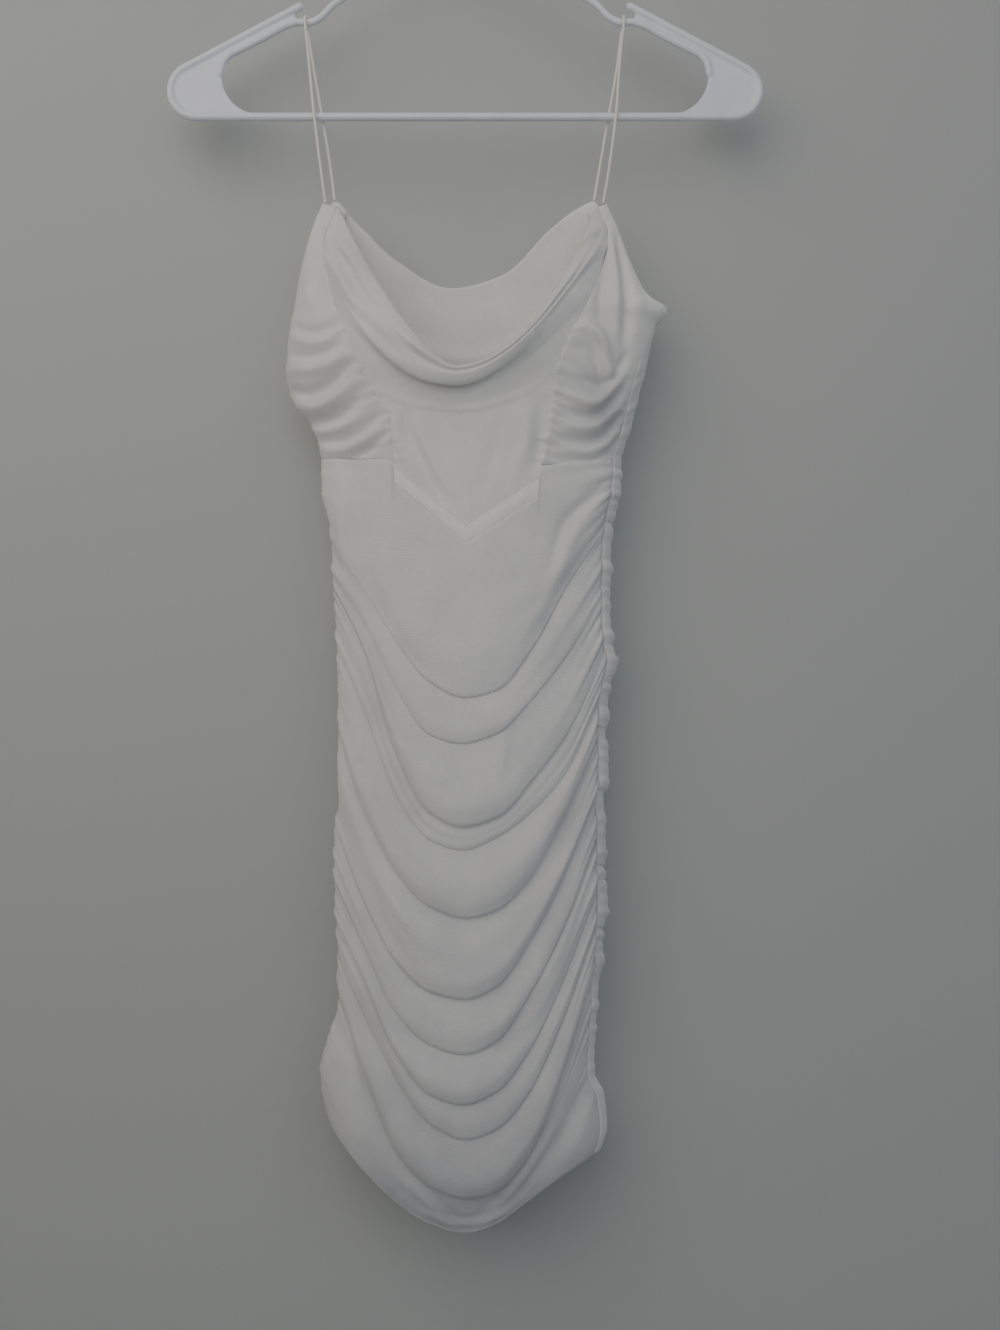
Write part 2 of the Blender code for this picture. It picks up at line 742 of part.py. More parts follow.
def web(side, tip_x, tip_height):
    """The thin plate that fills a hanger tip, with a round hollow towards the middle."""
    outline = [WEB_OUTER_CORNER]
    for k in range(WEB_STEPS + 1):
        turn = mix(ARM_SLOPE, math.pi, k / WEB_STEPS)
        x, rise = TIP_BEND * math.sin(turn), TIP_BEND * math.cos(turn)
        outline.append((tip_x + x, tip_height + rise))
    for k in range(WEB_STEPS + 1):
        turn = math.radians(mix(WEB_HOLE_START, WEB_HOLE_END, k / WEB_STEPS))
        x, rise = WEB_HOLE_RADIUS * math.cos(turn), WEB_HOLE_RADIUS * math.sin(turn)
        outline.append((WEB_HOLE_X + x, WEB_HOLE_HEIGHT + rise))
    outline += WEB_INNER_CORNERS
    mesh = bmesh.new()
    front_y = -WEB_THICKNESS / 2.0
    corners = [(side * x * MM, front_y * MM, height * MM) for x, height in outline]
    front = [mesh.verts.new(corner) for corner in corners]
    face = mesh.faces.new(front)
    extruded = bmesh.ops.extrude_face_region(mesh, geom=[face])
    moved = [item for item in extruded["geom"] if isinstance(item, bmesh.types.BMVert)]
    bmesh.ops.translate(mesh, verts=moved, vec=(0.0, WEB_THICKNESS * MM, 0.0))
    bmesh.ops.triangulate(mesh, faces=mesh.faces)
    bmesh.ops.recalc_face_normals(mesh, faces=mesh.faces)
    name = "web_left" if side < 0.0 else "web_right"
    data = bpy.data.meshes.new(name)
    mesh.to_mesh(data)
    mesh.free()
    return bpy.data.objects.new(name, data)


def build():
    clear_scene()
    parts = new_collection("bodycon dress on a hanger")
    new_collection("joined pieces")
    mesh_cloth = plain_material("stretch mesh, ivory", (0.80, 0.79, 0.76), 0.85)
    doubled_cloth = plain_material("stretch mesh, doubled", (0.84, 0.82, 0.76), 0.85)
    cord = plain_material("elastic cord, ivory", (0.83, 0.80, 0.73), 0.7)
    plastic = plain_material("polypropylene, white", (0.82, 0.84, 0.87), 0.35)

    sheet("front_skirt", front_skirt_grid(), WALL, parts, mesh_cloth)
    sheet("back_panel", back_panel_grid(), WALL, parts, mesh_cloth)
    sheet("centre_front", centre_front_grid(), WALL, parts, mesh_cloth)
    left_cup = cup_grid(LEFT_CUP_SEAM, LEFT_CUP_FOLDS, -1)
    right_cup = cup_grid(RIGHT_CUP_SEAM, RIGHT_CUP_FOLDS, 1)
    sheet("cup_left", left_cup, WALL, parts, mesh_cloth)
    sheet("cup_right", right_cup, WALL, parts, mesh_cloth)
    sheet("underbust_band", band_grid(), BAND_WALL, parts, doubled_cloth)
    for name, places in (("strap_left", LEFT_STRAP), ("strap_right", RIGHT_STRAP)):
        finish(tube(name, smooth_path(places, 2), CORD_RADIUS, 2), parts, cord)
    build_hanger(parts, plastic)


build()
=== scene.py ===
"""A ruched bodycon dress in ivory stretch mesh, hung by cord straps from a white plastic hanger.

Sizes are in millimetres and become metres as each mesh is made. The origin is the top of the
hook's inside. The front of the dress faces -Y.
"""

import math
from collections import namedtuple

import bpy
import numpy as np
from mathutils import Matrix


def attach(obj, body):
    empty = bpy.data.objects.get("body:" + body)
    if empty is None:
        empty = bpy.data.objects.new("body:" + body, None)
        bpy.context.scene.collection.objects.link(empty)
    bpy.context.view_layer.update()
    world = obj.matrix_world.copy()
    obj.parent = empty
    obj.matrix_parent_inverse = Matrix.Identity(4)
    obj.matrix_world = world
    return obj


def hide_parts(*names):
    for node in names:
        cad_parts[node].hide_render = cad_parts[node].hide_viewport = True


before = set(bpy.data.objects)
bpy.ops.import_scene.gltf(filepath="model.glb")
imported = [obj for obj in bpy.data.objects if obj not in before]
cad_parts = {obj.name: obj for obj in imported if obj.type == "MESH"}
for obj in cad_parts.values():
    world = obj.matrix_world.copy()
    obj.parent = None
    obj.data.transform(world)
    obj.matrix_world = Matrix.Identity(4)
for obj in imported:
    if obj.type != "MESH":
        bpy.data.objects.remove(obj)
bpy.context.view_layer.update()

MM = 0.001

# ---------------------------------------------------------------- sizes

CLOTH_WALL = 0.8
BAND_WALL = 0.7
CORD_RADIUS = 1.0
SEAM_GAP = 0.35
SEAM_TURN = 0.25

UNDERBUST = -462.0
V_POINT = -525.0
V_X = 2.2
V_LEFT = -48.5
V_RIGHT = 52.4
V_LEFT_HEIGHT = -484.0
V_RIGHT_HEIGHT = -492.0
CUP_LOW_LEFT = -467.0
CUP_LOW_RIGHT = -471.0
BAND_WIDTH = 13.0
RIGHT_SEAM_ANGLE = 20.0
UNDERARM = -357.0
UNDERARM_TURN = 40.0
CUP_TOP = -281.0
STRAP_ANGLE_RIGHT = -22.0
BACK_FIRST_ANGLE = 5.0
BACK_MIDDLE = -90.0

# Heights: where ruffles, gathers and folds start on the way down, where the painted light by the right
# arm ends, and where allowances turn.
RUFFLE_TOP = -362.0
CUP_FOLDS_TOP = -366.0
LEFT_GATHERS_TOP = -385.0
ARM_SHADE = -392.0
TURN_TOP = -452.0

# Gathers' spacing and ruffles' lift at the cups, and numbers of lines up the centre front.
CUP_SPACING = 7.0
RUFFLE_LIFT = {-1: 1.3, 1: 2.2}
PANEL_HALF = 60.0
COWL_LINE = 5.0
FACING_LINE = 12.3
PRINCESS_SPACING = 6.5
EDGE_EASE = 25.0

# Columns and rows of the grids, then the swags' profile: the depth of the crease under a lip, how
# far from it the cloth starts to roll back and by how much, and how much a swag wavers.
SKIRT_COLUMNS = 132
BACK_COLUMNS = 104
CENTRE_COLUMNS = 112
CUP_COLUMNS = 56
CUP_ROWS = 110
TUCK_ROWS = 7
ROW_STEP = 2.6
DITCH = 2.2
ROLL = 13.0
ROLL_BACK = 0.7
WAVER = 0.9
LESSER_FOLDS = 6
BACK_UPPER_ROWS = 70
BAND_ROWS = 10

# The mesh's net, stitches as spacing, length and thickness, how far each piece looks covered,
# how much painted shade darkens the cowl above its facing's edge, and seam allowances as steps
# out from an edge and down under the next piece.
NET_SIZE = 1.3
NET_DEPTH = 0.3
STITCH_GAP = 0.15
HEM_STITCH = (2.6, 2.0, 0.35)
BAND_STITCH = (2.4, 1.8, 0.3)
BACK_COVER = 0.74
CENTRE_COVER = 0.78
COWL_PAINTED_SHADE = 0.14
CUP_COVER = 0.66
ALLOWANCE = ((1.0, 0.5), (2.1, 1.1), (3.4, 1.4))
CUP_ALLOWANCE = ((0.4, 0.8), (0.9, 1.7), (2.2, 2.9), (5.0, 3.6), (7.5, 3.8))
WALL_Y = 42.0
WALL_TOP = 1400.0
STAGE_HALF = 3000.0
FLOOR = -1600.0


def rows_of(kind, *rows):
    return tuple(kind(*row) for row in rows)


# Half-sections of the body by height: outline to the left and right, depth to front and back.
Section = namedtuple("Section", "height left right front back")
BODY = rows_of(
    Section,
    (-279, -99.0, 98.0, 2.5, 5.0),
    (-298, -107.0, 107.0, 9.0, 12.0),
    (-324, -114.0, 116.6, 23.0, 18.0),
    (-342, -117.5, 125.0, 32.0, 21.0),
    (-350, -118.8, 132.0, 34.5, 21.5),
    (-356.5, -120.0, 141.8, 37.0, 22.0),
    (-359.5, -120.5, 142.0, 37.8, 22.2),
    (-368, -122.5, 134.0, 40.0, 23.0),
    (-385, -124.5, 130.0, 42.0, 24.0),
    (-401, -125.0, 126.5, 41.0, 25.0),
    (-421, -120.5, 121.0, 37.0, 26.0),
    (-438, -107.5, 117.0, 34.0, 26.0),
    (-460, -100.8, 110.0, 30.0, 26.0),
    (-484, -100.4, 108.0, 28.0, 26.0),
    (-511, -94.0, 102.5, 27.0, 26.0),
    (-547, -91.8, 100.6, 27.0, 26.0),
    (-589, -89.5, 101.0, 29.0, 27.0),
    (-603, -89.0, 104.0, 30.0, 27.0),
    (-635, -88.0, 98.0, 32.0, 28.0),
    (-673, -88.6, 97.8, 34.0, 28.0),
    (-701, -86.8, 96.6, 35.0, 29.0),
    (-724, -90.6, 96.4, 35.0, 29.0),
    (-765, -90.4, 97.0, 36.0, 30.0),
    (-800, -88.6, 95.0, 36.0, 30.0),
    (-842, -88.0, 93.0, 36.0, 30.0),
    (-870, -96.0, 91.0, 36.0, 30.0),
    (-891, -101.3, 90.0, 36.0, 30.0),
    (-908, -99.6, 97.6, 35.0, 29.0),
    (-930, -93.0, 99.9, 34.0, 29.0),
    (-946, -86.0, 95.0, 33.0, 28.0),
    (-1000, -60.0, 66.0, 30.0, 27.0),
)

# The skirt's swags, each with its height at nine places from the left seam to the right one,
# how far its lip stands out, how deep it is tucked, and how much of that is left at the seams.
PLACES = (-1.0, -0.73, -0.5, -0.25, 0.0, 0.24, 0.48, 0.73, 1.0)
Swag = namedtuple("Swag", "heights lift tuck left_keep right_keep")
FRONT_SWAGS = rows_of(
    Swag,
    ((-520, -557, -590, -618, -628, -622, -594, -552, -512), 4.4, 1.5, 0.30, 0.85),
    ((-541, -580, -620, -652, -659, -653, -630, -600, -560), 4.8, 2.0, 0.45, 0.55),
    ((-552, -600, -664, -704, -714, -708, -684, -652, -598), 6.8, 3.0, 0.50, 0.60),
    ((-590, -646, -695, -724, -731, -723, -707, -681, -630), 3.6, 1.5, 0.30, 0.70),
    ((-650, -713, -748, -769, -775, -770, -751, -711, -656), 7.6, 3.5, 0.55, 0.75),
    ((-716, -771, -807, -826, -830, -821, -792, -751, -692), 8.0, 3.5, 0.60, 0.70),
    ((-757, -801, -840, -861, -868, -859, -827, -785, -728), 6.4, 3.0, 0.45, 0.70),
    ((-782, -826, -868, -894, -900, -892, -866, -824, -762), 6.4, 3.0, 0.60, 0.65),
    ((-806, -850, -888, -916, -925, -918, -895, -851, -788), 5.2, 2.5, 0.50, 0.60),
    ((-830, -890, -936, -959, -965, -961, -940, -890, -812), 7.2, 3.5, 0.70, 0.70),
    ((-928, -953, -971, -985, -991, -985, -971, -957, -946), 0.0, 0.0, 1.0, 1.0),
)
BACK_SWAGS = rows_of(
    Swag,
    ((-505, -522, -541, -556, -560, -556, -541, -522, -505), 4.0, 1.0, 0.50, 0.50),
    ((-552, -578, -602, -618, -622, -617, -600, -576, -552), 6.0, 2.0, 0.60, 0.50),
    ((-592, -625, -655, -675, -681, -676, -659, -637, -612), 7.5, 2.5, 0.50, 0.60),
    ((-652, -688, -718, -738, -744, -738, -717, -686, -648), 8.0, 3.0, 0.60, 0.60),
    ((-712, -744, -773, -794, -800, -793, -770, -734, -692), 8.5, 3.0, 0.50, 0.65),
    ((-757, -793, -825, -846, -851, -845, -822, -788, -745), 7.0, 2.5, 0.55, 0.50),
    ((-792, -829, -862, -884, -890, -884, -862, -829, -788), 8.0, 3.0, 0.60, 0.60),
    ((-830, -872, -914, -940, -946, -940, -912, -868, -820), 7.0, 3.0, 0.60, 0.60),
    ((-928, -948, -965, -979, -984, -980, -968, -955, -946), 0.0, 0.0, 1.0, 1.0),
)

# How far the gathers of a side seam stand out, and how far they reach into the cloth.
Gather = namedtuple("Gather", "height depth reach")
LEFT_GATHERS = rows_of(
    Gather,
    (-462, 1.0, 10.0),
    (-505, 1.2, 12.0),
    (-520, 2.6, 18.0),
    (-590, 2.6, 22.0),
    (-620, 1.2, 20.0),
    (-690, 1.0, 22.0),
    (-712, 2.8, 24.0),
    (-790, 2.6, 26.0),
    (-830, 1.6, 22.0),
    (-900, 1.2, 14.0),
    (-946, 0.4, 8.0),
)
RIGHT_GATHERS = rows_of(
    Gather,
    (-357, 0.8, 8.0),
    (-420, 2.0, 14.0),
    (-462, 2.6, 18.0),
    (-540, 3.2, 26.0),
    (-590, 3.8, 30.0),
    (-635, 2.6, 26.0),
    (-724, 3.4, 28.0),
    (-765, 3.6, 30.0),
    (-842, 3.0, 26.0),
    (-880, 2.6, 20.0),
    (-905, 1.0, 12.0),
    (-946, 0.3, 8.0),
)
GATHER_SPACING = 9.0
SEAM_EASE = 6.0

# Lines of cloth across the centre front, from the V seam up, round the cowl's drooping lip,
# over its upper edge and down inside as the turned-in facing.
Across = namedtuple(
    "Across",
    "low_x low left_x left left_bend right_x right right_bend lift end_lift",
)
CENTRE_FRONT = rows_of(
    Across,
    (2.2, -525.0, -48.5, -484.0, 1.0, 52.4, -492.0, 1.0, 0.0, 0.0),
    (1.6, -490.0, -47.4, -464.7, 1.5, 54.3, -469.4, 1.5, 0.5, 0.0),
    (-0.2, -456.0, -51.1, -438.3, 2.0, 58.8, -445.7, 2.0, 1.2, 0.0),
    (-2.9, -435.0, -64.7, -417.2, 2.0, 64.6, -405.9, 2.0, 1.2, 0.0),
    (-3.5, -427.0, -79.2, -385.4, 2.2, 76.2, -376.7, 2.0, 1.4, 0.2),
    (-3.6, -421.0, -87.0, -362.0, 2.3, 86.0, -356.0, 1.9, 2.2, 0.4),
    (-3.7, -418.0, -92.0, -348.0, 2.3, 91.0, -344.0, 1.8, 5.0, 0.8),
    (-3.8, -420.6, -96.5, -330.0, 2.3, 96.5, -325.0, 1.7, 7.0, 1.2),
    (-3.9, -418.6, -98.4, -319.7, 2.3, 99.5, -312.0, 1.7, 9.4, 1.5),
    (-4.4, -414.0, -98.0, -308.0, 2.0, 99.6, -303.0, 1.8, 10.6, 3.0),
    (-4.8, -411.6, -95.5, -300.0, 1.8, 98.0, -298.0, 1.9, 8.2, 1.8),
    (-5.0, -409.8, -93.0, -294.0, 1.7, 96.4, -293.0, 2.0, 9.6, 2.6),
    (-5.3, -407.6, -89.5, -285.6, 1.5, 93.2, -285.4, 2.1, 6.0, 0.8),
    (-5.2, -411.0, -87.0, -288.0, 1.5, 91.0, -287.9, 2.1, 1.5, -2.6),
    (-4.5, -424.0, -84.0, -300.0, 1.8, 88.0, -299.0, 2.1, -5.0, -6.5),
    (-3.5, -435.0, -79.0, -318.0, 2.0, 83.0, -318.0, 2.0, -6.0, -9.0),
)
CENTRE_ROWS = (20, 18, 14, 6, 5, 5, 5, 5, 6, 5, 4, 6, 6, 7, 6)

# A cup's inner seam, up from the underbust, beside the centre-front panel's edge.
Point = namedtuple("Point", "x height")
LEFT_CUP_SEAM = rows_of(
    Point,
    (-49.8, -466.0),
    (-52.3, -438.0),
    (-66.0, -417.0),
    (-80.3, -385.4),
    (-92.0, -350.0),
    (-99.2, -319.7),
    (-99.4, -308.0),
    (-94.4, -295.5),
    (-91.0, -284.6),
)
RIGHT_CUP_SEAM = rows_of(
    Point,
    (55.2, -470.0),
    (60.2, -445.7),
    (66.0, -406.0),
    (77.4, -376.5),
    (92.0, -344.0),
    (100.5, -312.0),
    (100.8, -302.5),
    (97.6, -293.5),
    (94.6, -284.6),
)

# The lower edge of the turned-in facing, which shows faintly through the centre front; above it the
# cloth is painted darker, as shade under the cowl's lip.
FACING_EDGE = rows_of(
    Point,
    (-80.0, -400.0),
    (-67.0, -414.0),
    (-43.0, -428.0),
    (-9.0, -434.0),
    (11.0, -433.0),
    (31.0, -427.0),
    (64.0, -403.0),
    (80.0, -390.0),
)

# Soft folds, each along a line of (x, height): a ridge where lift is above zero, else a trough.
Fold = namedtuple("Fold", "lift width line")
LEFT_CUP_FOLDS = rows_of(
    Fold,
    (2.0, 7.0, ((-99, -290), (-107, -318), (-112, -352))),
    (-1.8, 5.0, ((-97, -304), (-100, -334), (-98, -362))),
    (1.6, 5.0, ((-104, -330), (-106, -350), (-100, -370))),
    (-3.4, 3.2, ((-119, -371), (-106, -379), (-90, -376), (-82, -369))),
    (3.2, 4.0, ((-119, -379), (-104, -386), (-92, -386), (-80, -378))),
    (-2.4, 3.0, ((-121, -391), (-108, -395), (-96, -394), (-79, -386))),
    (3.4, 4.4, ((-123, -401), (-106, -404), (-92, -402), (-76, -393))),
    (-4.6, 3.4, ((-124, -414), (-107, -419), (-90, -413), (-74, -401))),
    (5.0, 4.6, ((-116, -427), (-100, -430), (-84, -423), (-70, -411))),
    (-3.0, 3.0, ((-112, -436), (-98, -438), (-82, -433), (-66, -421))),
    (2.6, 3.4, ((-108, -442), (-94, -445), (-78, -441), (-64, -430))),
    (-3.8, 3.2, ((-104, -450), (-86, -452), (-68, -445), (-55, -434))),
    (4.4, 4.0, ((-100, -456), (-84, -459), (-68, -453), (-53, -443))),
    (-3.0, 2.8, ((-96, -464), (-80, -466), (-66, -460), (-52, -450))),
)
RIGHT_CUP_FOLDS = rows_of(
    Fold,
    (-3.0, 3.6, ((97, -300), (93, -335), (92, -372))),
    (3.4, 4.4, ((101, -302), (104, -340), (103, -384))),
    (-3.2, 3.4, ((106, -306), (111, -344), (110, -386))),
    (1.8, 6.0, ((114, -326), (119, -352), (117, -384))),
    (4.8, 4.2, ((76, -378), (85, -378), (94, -389), (101, -412))),
    (-3.4, 3.2, ((78, -390), (86, -393), (91, -402), (96, -418))),
    (-2.6, 3.0, ((84, -380), (98, -398), (108, -402))),
    (-3.8, 3.0, ((80, -412), (100, -413), (112, -392))),
    (4.8, 4.2, ((72, -424), (92, -427), (109, -404))),
    (-3.6, 3.2, ((68, -434), (90, -435), (111, -414))),
    (3.6, 3.8, ((68, -444), (90, -443), (111, -422))),
    (-3.4, 3.0, ((66, -453), (92, -451), (112, -430))),
    (3.4, 3.6, ((64, -460), (90, -459), (111, -438))),
    (-2.6, 2.8, ((62, -466), (90, -466), (110, -448))),
)
CENTRE_FOLDS = rows_of(
    Fold,
    (2.4, 3.2, ((-99, -311), (-86, -315), (-75, -329), (-66, -342))),
    (2.6, 3.2, ((-98, -322), (-89, -333), (-78, -353), (-68, -370))),
    (-2.4, 3.4, ((-92, -318), (-81, -332), (-72, -350), (-62, -364))),
    (2.0, 3.6, ((-60, -368), (-43, -387), (-24, -399), (-8, -404))),
    (-1.8, 3.6, ((-80, -358), (-66, -375), (-43, -397), (-23, -408))),
    (-2.4, 3.2, ((103, -308), (90, -311), (78, -319), (68, -328), (58, -346))),
    (2.2, 3.6, ((99, -300), (84, -306), (70, -320), (58, -336), (44, -356))),
    (2.0, 3.6, ((96, -318), (82, -330), (68, -350), (52, -372))),
    (-1.6, 3.0, ((92, -326), (78, -344), (64, -364), (50, -382))),
    (
        0.9,
        2.0,
        ((-67, -414), (-43, -428), (-9, -434), (11, -433), (31, -427), (46, -420), (64, -403)),
    ),
    (-2.8, 4.0, ((-40, -434), (-36, -452), (-24, -476), (-14, -495))),
    (2.2, 4.0, ((-33, -436), (-29, -452), (-18, -474), (-8, -492))),
    (2.0, 3.5, ((-46, -436), (-44, -456), (-36, -474))),
    (-2.2, 4.0, ((52, -430), (52, -450), (48, -472))),
    (2.0, 5.0, ((42, -432), (42, -455), (34, -478))),
    (-1.0, 5.0, ((24, -440), (20, -464), (8, -490))),
)
SKIRT_FOLDS = rows_of(
    Fold,
    (-3.2, 4.0, ((97, -481), (86, -492), (75, -502), (66, -515), (60, -537))),
    (3.0, 5.0, ((97, -492), (86, -502), (76, -514), (68, -530), (62, -548))),
    (-3.2, 8.0, ((-74, -468), (-72, -500), (-66, -540), (-52, -578))),
    (2.6, 6.0, ((-84, -480), (-84, -520), (-80, -552))),
    (-2.4, 5.0, ((86, -520), (74, -540), (60, -566), (44, -592))),
    (2.2, 6.0, ((90, -506), (78, -527), (62, -552), (46, -576))),
    (-1.3, 6.0, ((-72, -536), (-56, -570), (-36, -600), (-14, -613))),
    (2.2, 4.0, ((28, -651), (26, -665), (24, -682))),
    (2.0, 6.0, ((-64, -590), (-51, -635), (-29, -671), (-5, -690))),
    (2.4, 5.0, ((-55, -747), (-41, -773), (-24, -796))),
    (-2.4, 5.0, ((-64, -752), (-49, -788), (-29, -811))),
    (-1.8, 5.0, ((-67, -698), (-56, -734), (-36, -763))),
    (2.2, 7.0, ((86, -648), (65, -698), (41, -733), (18, -751))),
    (-2.2, 6.0, ((89, -671), (69, -720), (48, -753), (25, -769))),
    (-1.8, 7.0, ((-76, -603), (-67, -657), (-56, -698))),
    (2.2, 6.0, ((81, -752), (65, -796), (41, -832), (18, -850))),
    (-2.2, 5.0, ((83, -774), (67, -818), (48, -850), (25, -865))),
    (1.8, 6.0, ((-68, -814), (-51, -855), (-29, -885))),
    (-1.8, 6.0, ((40, -572), (59, -558), (76, -536))),
    (2.0, 7.0, ((56, -617), (36, -639), (16, -648))),
    (-1.5, 3.5, ((-81, -846), (-77, -864), (-73, -888), (-69, -912))),
    (1.3, 4.0, ((-76, -850), (-72, -872), (-66, -896))),
    (-1.3, 3.5, ((-58, -856), (-47, -888), (-41, -908))),
    (2.2, 4.5, ((-44, -952), (-29, -964), (-16, -977), (-3, -989))),
    (-2.2, 4.0, ((-34, -950), (-20, -966), (-8, -980), (0, -990))),
    (2.2, 4.5, ((62, -920), (46, -944), (27, -970), (10, -988))),
    (-2.0, 4.0, ((54, -922), (38, -944), (22, -965), (6, -985))),
    (-1.4, 5.0, ((86, -884), (76, -916), (58, -944))),
    (1.4, 6.0, ((92, -890), (84, -920), (68, -946))),
)
BACK_FOLDS = rows_of(
    Fold,
    (-2.0, 6.0, ((-70, -330), (-40, -372), (0, -386), (40, -372), (72, -330))),
    (1.8, 6.0, ((-76, -350), (-42, -392), (0, -404), (44, -390), (80, -346))),
    (-1.6, 6.0, ((-84, -380), (-50, -418), (-4, -430), (46, -414), (88, -372))),
    (-2.0, 5.0, ((84, -420), (60, -450), (36, -478))),
    (2.0, 6.0, ((88, -434), (64, -466), (38, -494))),
    (-2.0, 5.0, ((-84, -430), (-62, -462), (-34, -486))),
    (-1.6, 6.0, ((80, -480), (54, -510), (20, -526))),
)

# How much of the cloth behind a place thickens its look, from the V seam down to the hem; lower down
# it is also painted shade, as the light falls off towards the hem.
CoverAndShade = namedtuple("CoverAndShade", "height share")
SKIRT_COVER_AND_SHADE = rows_of(
    CoverAndShade,
    (-470, 0.64),
    (-640, 0.60),
    (-760, 0.54),
    (-860, 0.46),
    (-915, 0.32),
    (-950, 0.18),
    (-970, 0.05),
    (-992, 0.0),
)
SKIRT_SEED = 11
BACK_SEED = 23

# Upper edge of the back panel: angle round the body from the right, and height.
Edge = namedtuple("Edge", "angle height")
BACK_EDGE = rows_of(
    Edge,
    (5.0, -358.0),
    (-8.0, -326.0),
    (-22.0, -279.5),
    (-38.0, -284.0),
    (-56.0, -297.0),
    (-78.0, -327.0),
    (-95.0, -335.0),
    (-117.0, -316.0),
    (-135.0, -295.0),
    (-158.0, -279.5),
    (-171.0, -322.0),
    (-180.0, -364.0),
)

# The straps: a cord from the cup, before the bar, over the notch and down behind it.
LEFT_STRAP = (
    (-98.2, -0.7, -281.1),
    (-101.0, -3.8, -258.0),
    (-105.5, -4.5, -221.0),
    (-109.0, -4.4, -185.0),
    (-111.6, -4.1, -159.0),
    (-112.2, -3.0, -152.6),
    (-112.2, 0.0, -150.7),
    (-112.0, 3.0, -152.6),
    (-111.2, 4.1, -159.0),
    (-106.2, 4.4, -190.0),
    (-100.8, 4.5, -221.0),
    (-96.3, 4.3, -248.0),
    (-91.9, 1.3, -278.9),
)
RIGHT_STRAP = (
    (97.4, -0.7, -281.2),
    (101.4, -3.8, -256.0),
    (105.8, -4.5, -221.0),
    (108.4, -4.4, -185.0),
    (111.0, -4.1, -159.0),
    (111.5, -3.0, -152.6),
    (111.5, 0.0, -150.7),
    (111.2, 3.0, -152.6),
    (110.6, 4.1, -159.0),
    (106.5, 4.4, -190.0),
    (101.0, 4.5, -221.0),
    (96.0, 4.3, -250.0),
    (90.9, 1.3, -278.9),
)

# The hanger, a tubular moulding.
HANGER_WIDTH = 420.0
BAR_HEIGHT = -221.0
BAR_RADIUS = 2.9
STRAND_RADIUS = 2.6
HOOK_RADIUS = 2.7
TIP_BEND = 18.2
ARM_SLOPE = math.radians(28.0)
NUB_X = 116.0
HOOK_BEND = 24.0
NECK_HEIGHT = -92.0
WEB_THICKNESS = 2.0
WEB_HOLE_X = 144.0
WEB_HOLE_HEIGHT = -192.0
WEB_HOLE_RADIUS = 27.0
WEB_HOLE_ARC = (-78.0, 38.0)
WEB_START = (119.0, -150.0)
WEB_CORNERS = ((159.0, -173.8), (151.0, -170.0), (138.0, -163.2), (120.0, -155.0))
HOOK_ARC = (218.0, -35.0)
FILLET_VOXEL = 0.85
STRAND = (
    (172.0, -190.5),
    (170.2, -183.0),
    (165.4, -177.2),
    (159.0, -173.8),
    (151.0, -170.0),
    (138.0, -163.2),
    (126.6, -157.0),
    (117.5, -154.4),
    (109.0, -154.6),
    (101.0, -150.7),
    (94.0, -143.5),
    (85.0, -137.0),
    (60.0, -123.2),
    (30.0, -106.8),
    (12.0, -97.0),
)
STEM = ((0.0, NECK_HEIGHT), (0.0, -76.0), (-2.5, -62.0), (-10.5, -49.0))

# ---------------------------------------------------------------- curves and the body's form


def curve(xs, ys, x):
    """The value at x of a smooth curve through the points that never overshoots them."""
    xs, ys, x = np.asarray(xs, float), np.asarray(ys, float), np.asarray(x, float)
    steps = np.diff(ys) / np.diff(xs)
    slope = np.concatenate([steps[:1], np.zeros(len(xs) - 2), steps[-1:]])
    for k in range(1, len(xs) - 1):
        a, b = steps[k - 1], steps[k]
        slope[k] = 2.0 * a * b / (a + b) if a * b > 0.0 else 0.0
    x = np.clip(x, xs[0], xs[-1])
    i = np.clip(np.searchsorted(xs, x, side="right") - 1, 0, len(xs) - 2)
    span = xs[i + 1] - xs[i]
    t = (x - xs[i]) / span
    return (
        (1.0 + 2.0 * t) * (1.0 - t) ** 2 * ys[i]
        + t * (1.0 - t) ** 2 * span * slope[i]
        + t * t * (3.0 - 2.0 * t) * ys[i + 1]
        + t * t * (t - 1.0) * span * slope[i + 1]
    )


def column(table, name, at, along="height"):
    rows = sorted(table, key=lambda row: getattr(row, along))
    return curve([getattr(row, along) for row in rows], [getattr(row, name) for row in rows], at)


def mix(a, b, share):
    return a + (b - a) * share


def ramp(start, value, span):
    """0 where the value is above the start, growing to 1 over a span below it."""
    return np.clip((start - value) / span, 0.0, 1.0)


def fades(distance, reach):
    return np.exp(-distance / reach)


def rises(distance, reach):
    return 1.0 - np.exp(-distance / reach)


def step_up(value, at, ease):
    """0 well below a place, 1 well above it."""
    return 1.0 / (1.0 + np.exp(-(value - at) / ease))


def skin(angle, height, lift=0.0, left_height=None, right_height=None):
    """Points on the body: angle in degrees from +X towards the front, lifted outwards."""
    turn = np.radians(angle)
    right = column(BODY, "right", height if right_height is None else right_height)
    left = column(BODY, "left", height if left_height is None else left_height)
    half = np.where(np.cos(turn) > 0.0, right, -left)
    front, back = column(BODY, "front", height), column(BODY, "back", height)
    depth = np.where(np.sin(turn) > 0.0, front, back)
    across, out = np.cos(turn) / half, -np.sin(turn) / depth
    length = np.hypot(across, out)
    x = half * np.cos(turn) + lift * across / length
    y = -depth * np.sin(turn) + lift * out / length
    return np.stack(np.broadcast_arrays(x, y, height), axis=-1)


def angle_at(x, height):
    right, left = column(BODY, "right", height), column(BODY, "left", height)
    half = np.where(np.asarray(x) > 0.0, right, -left)
    return np.degrees(np.arccos(np.clip(x / half, -1.0, 1.0)))


def skin_at(x, height, lift=0.0):
    return skin(angle_at(x, height), height, lift)


def right_seam_angle(height):
    """The side seam starts at the outline under the arm and turns on to the front."""
    return RIGHT_SEAM_ANGLE * ramp(UNDERARM, height, UNDERARM_TURN)


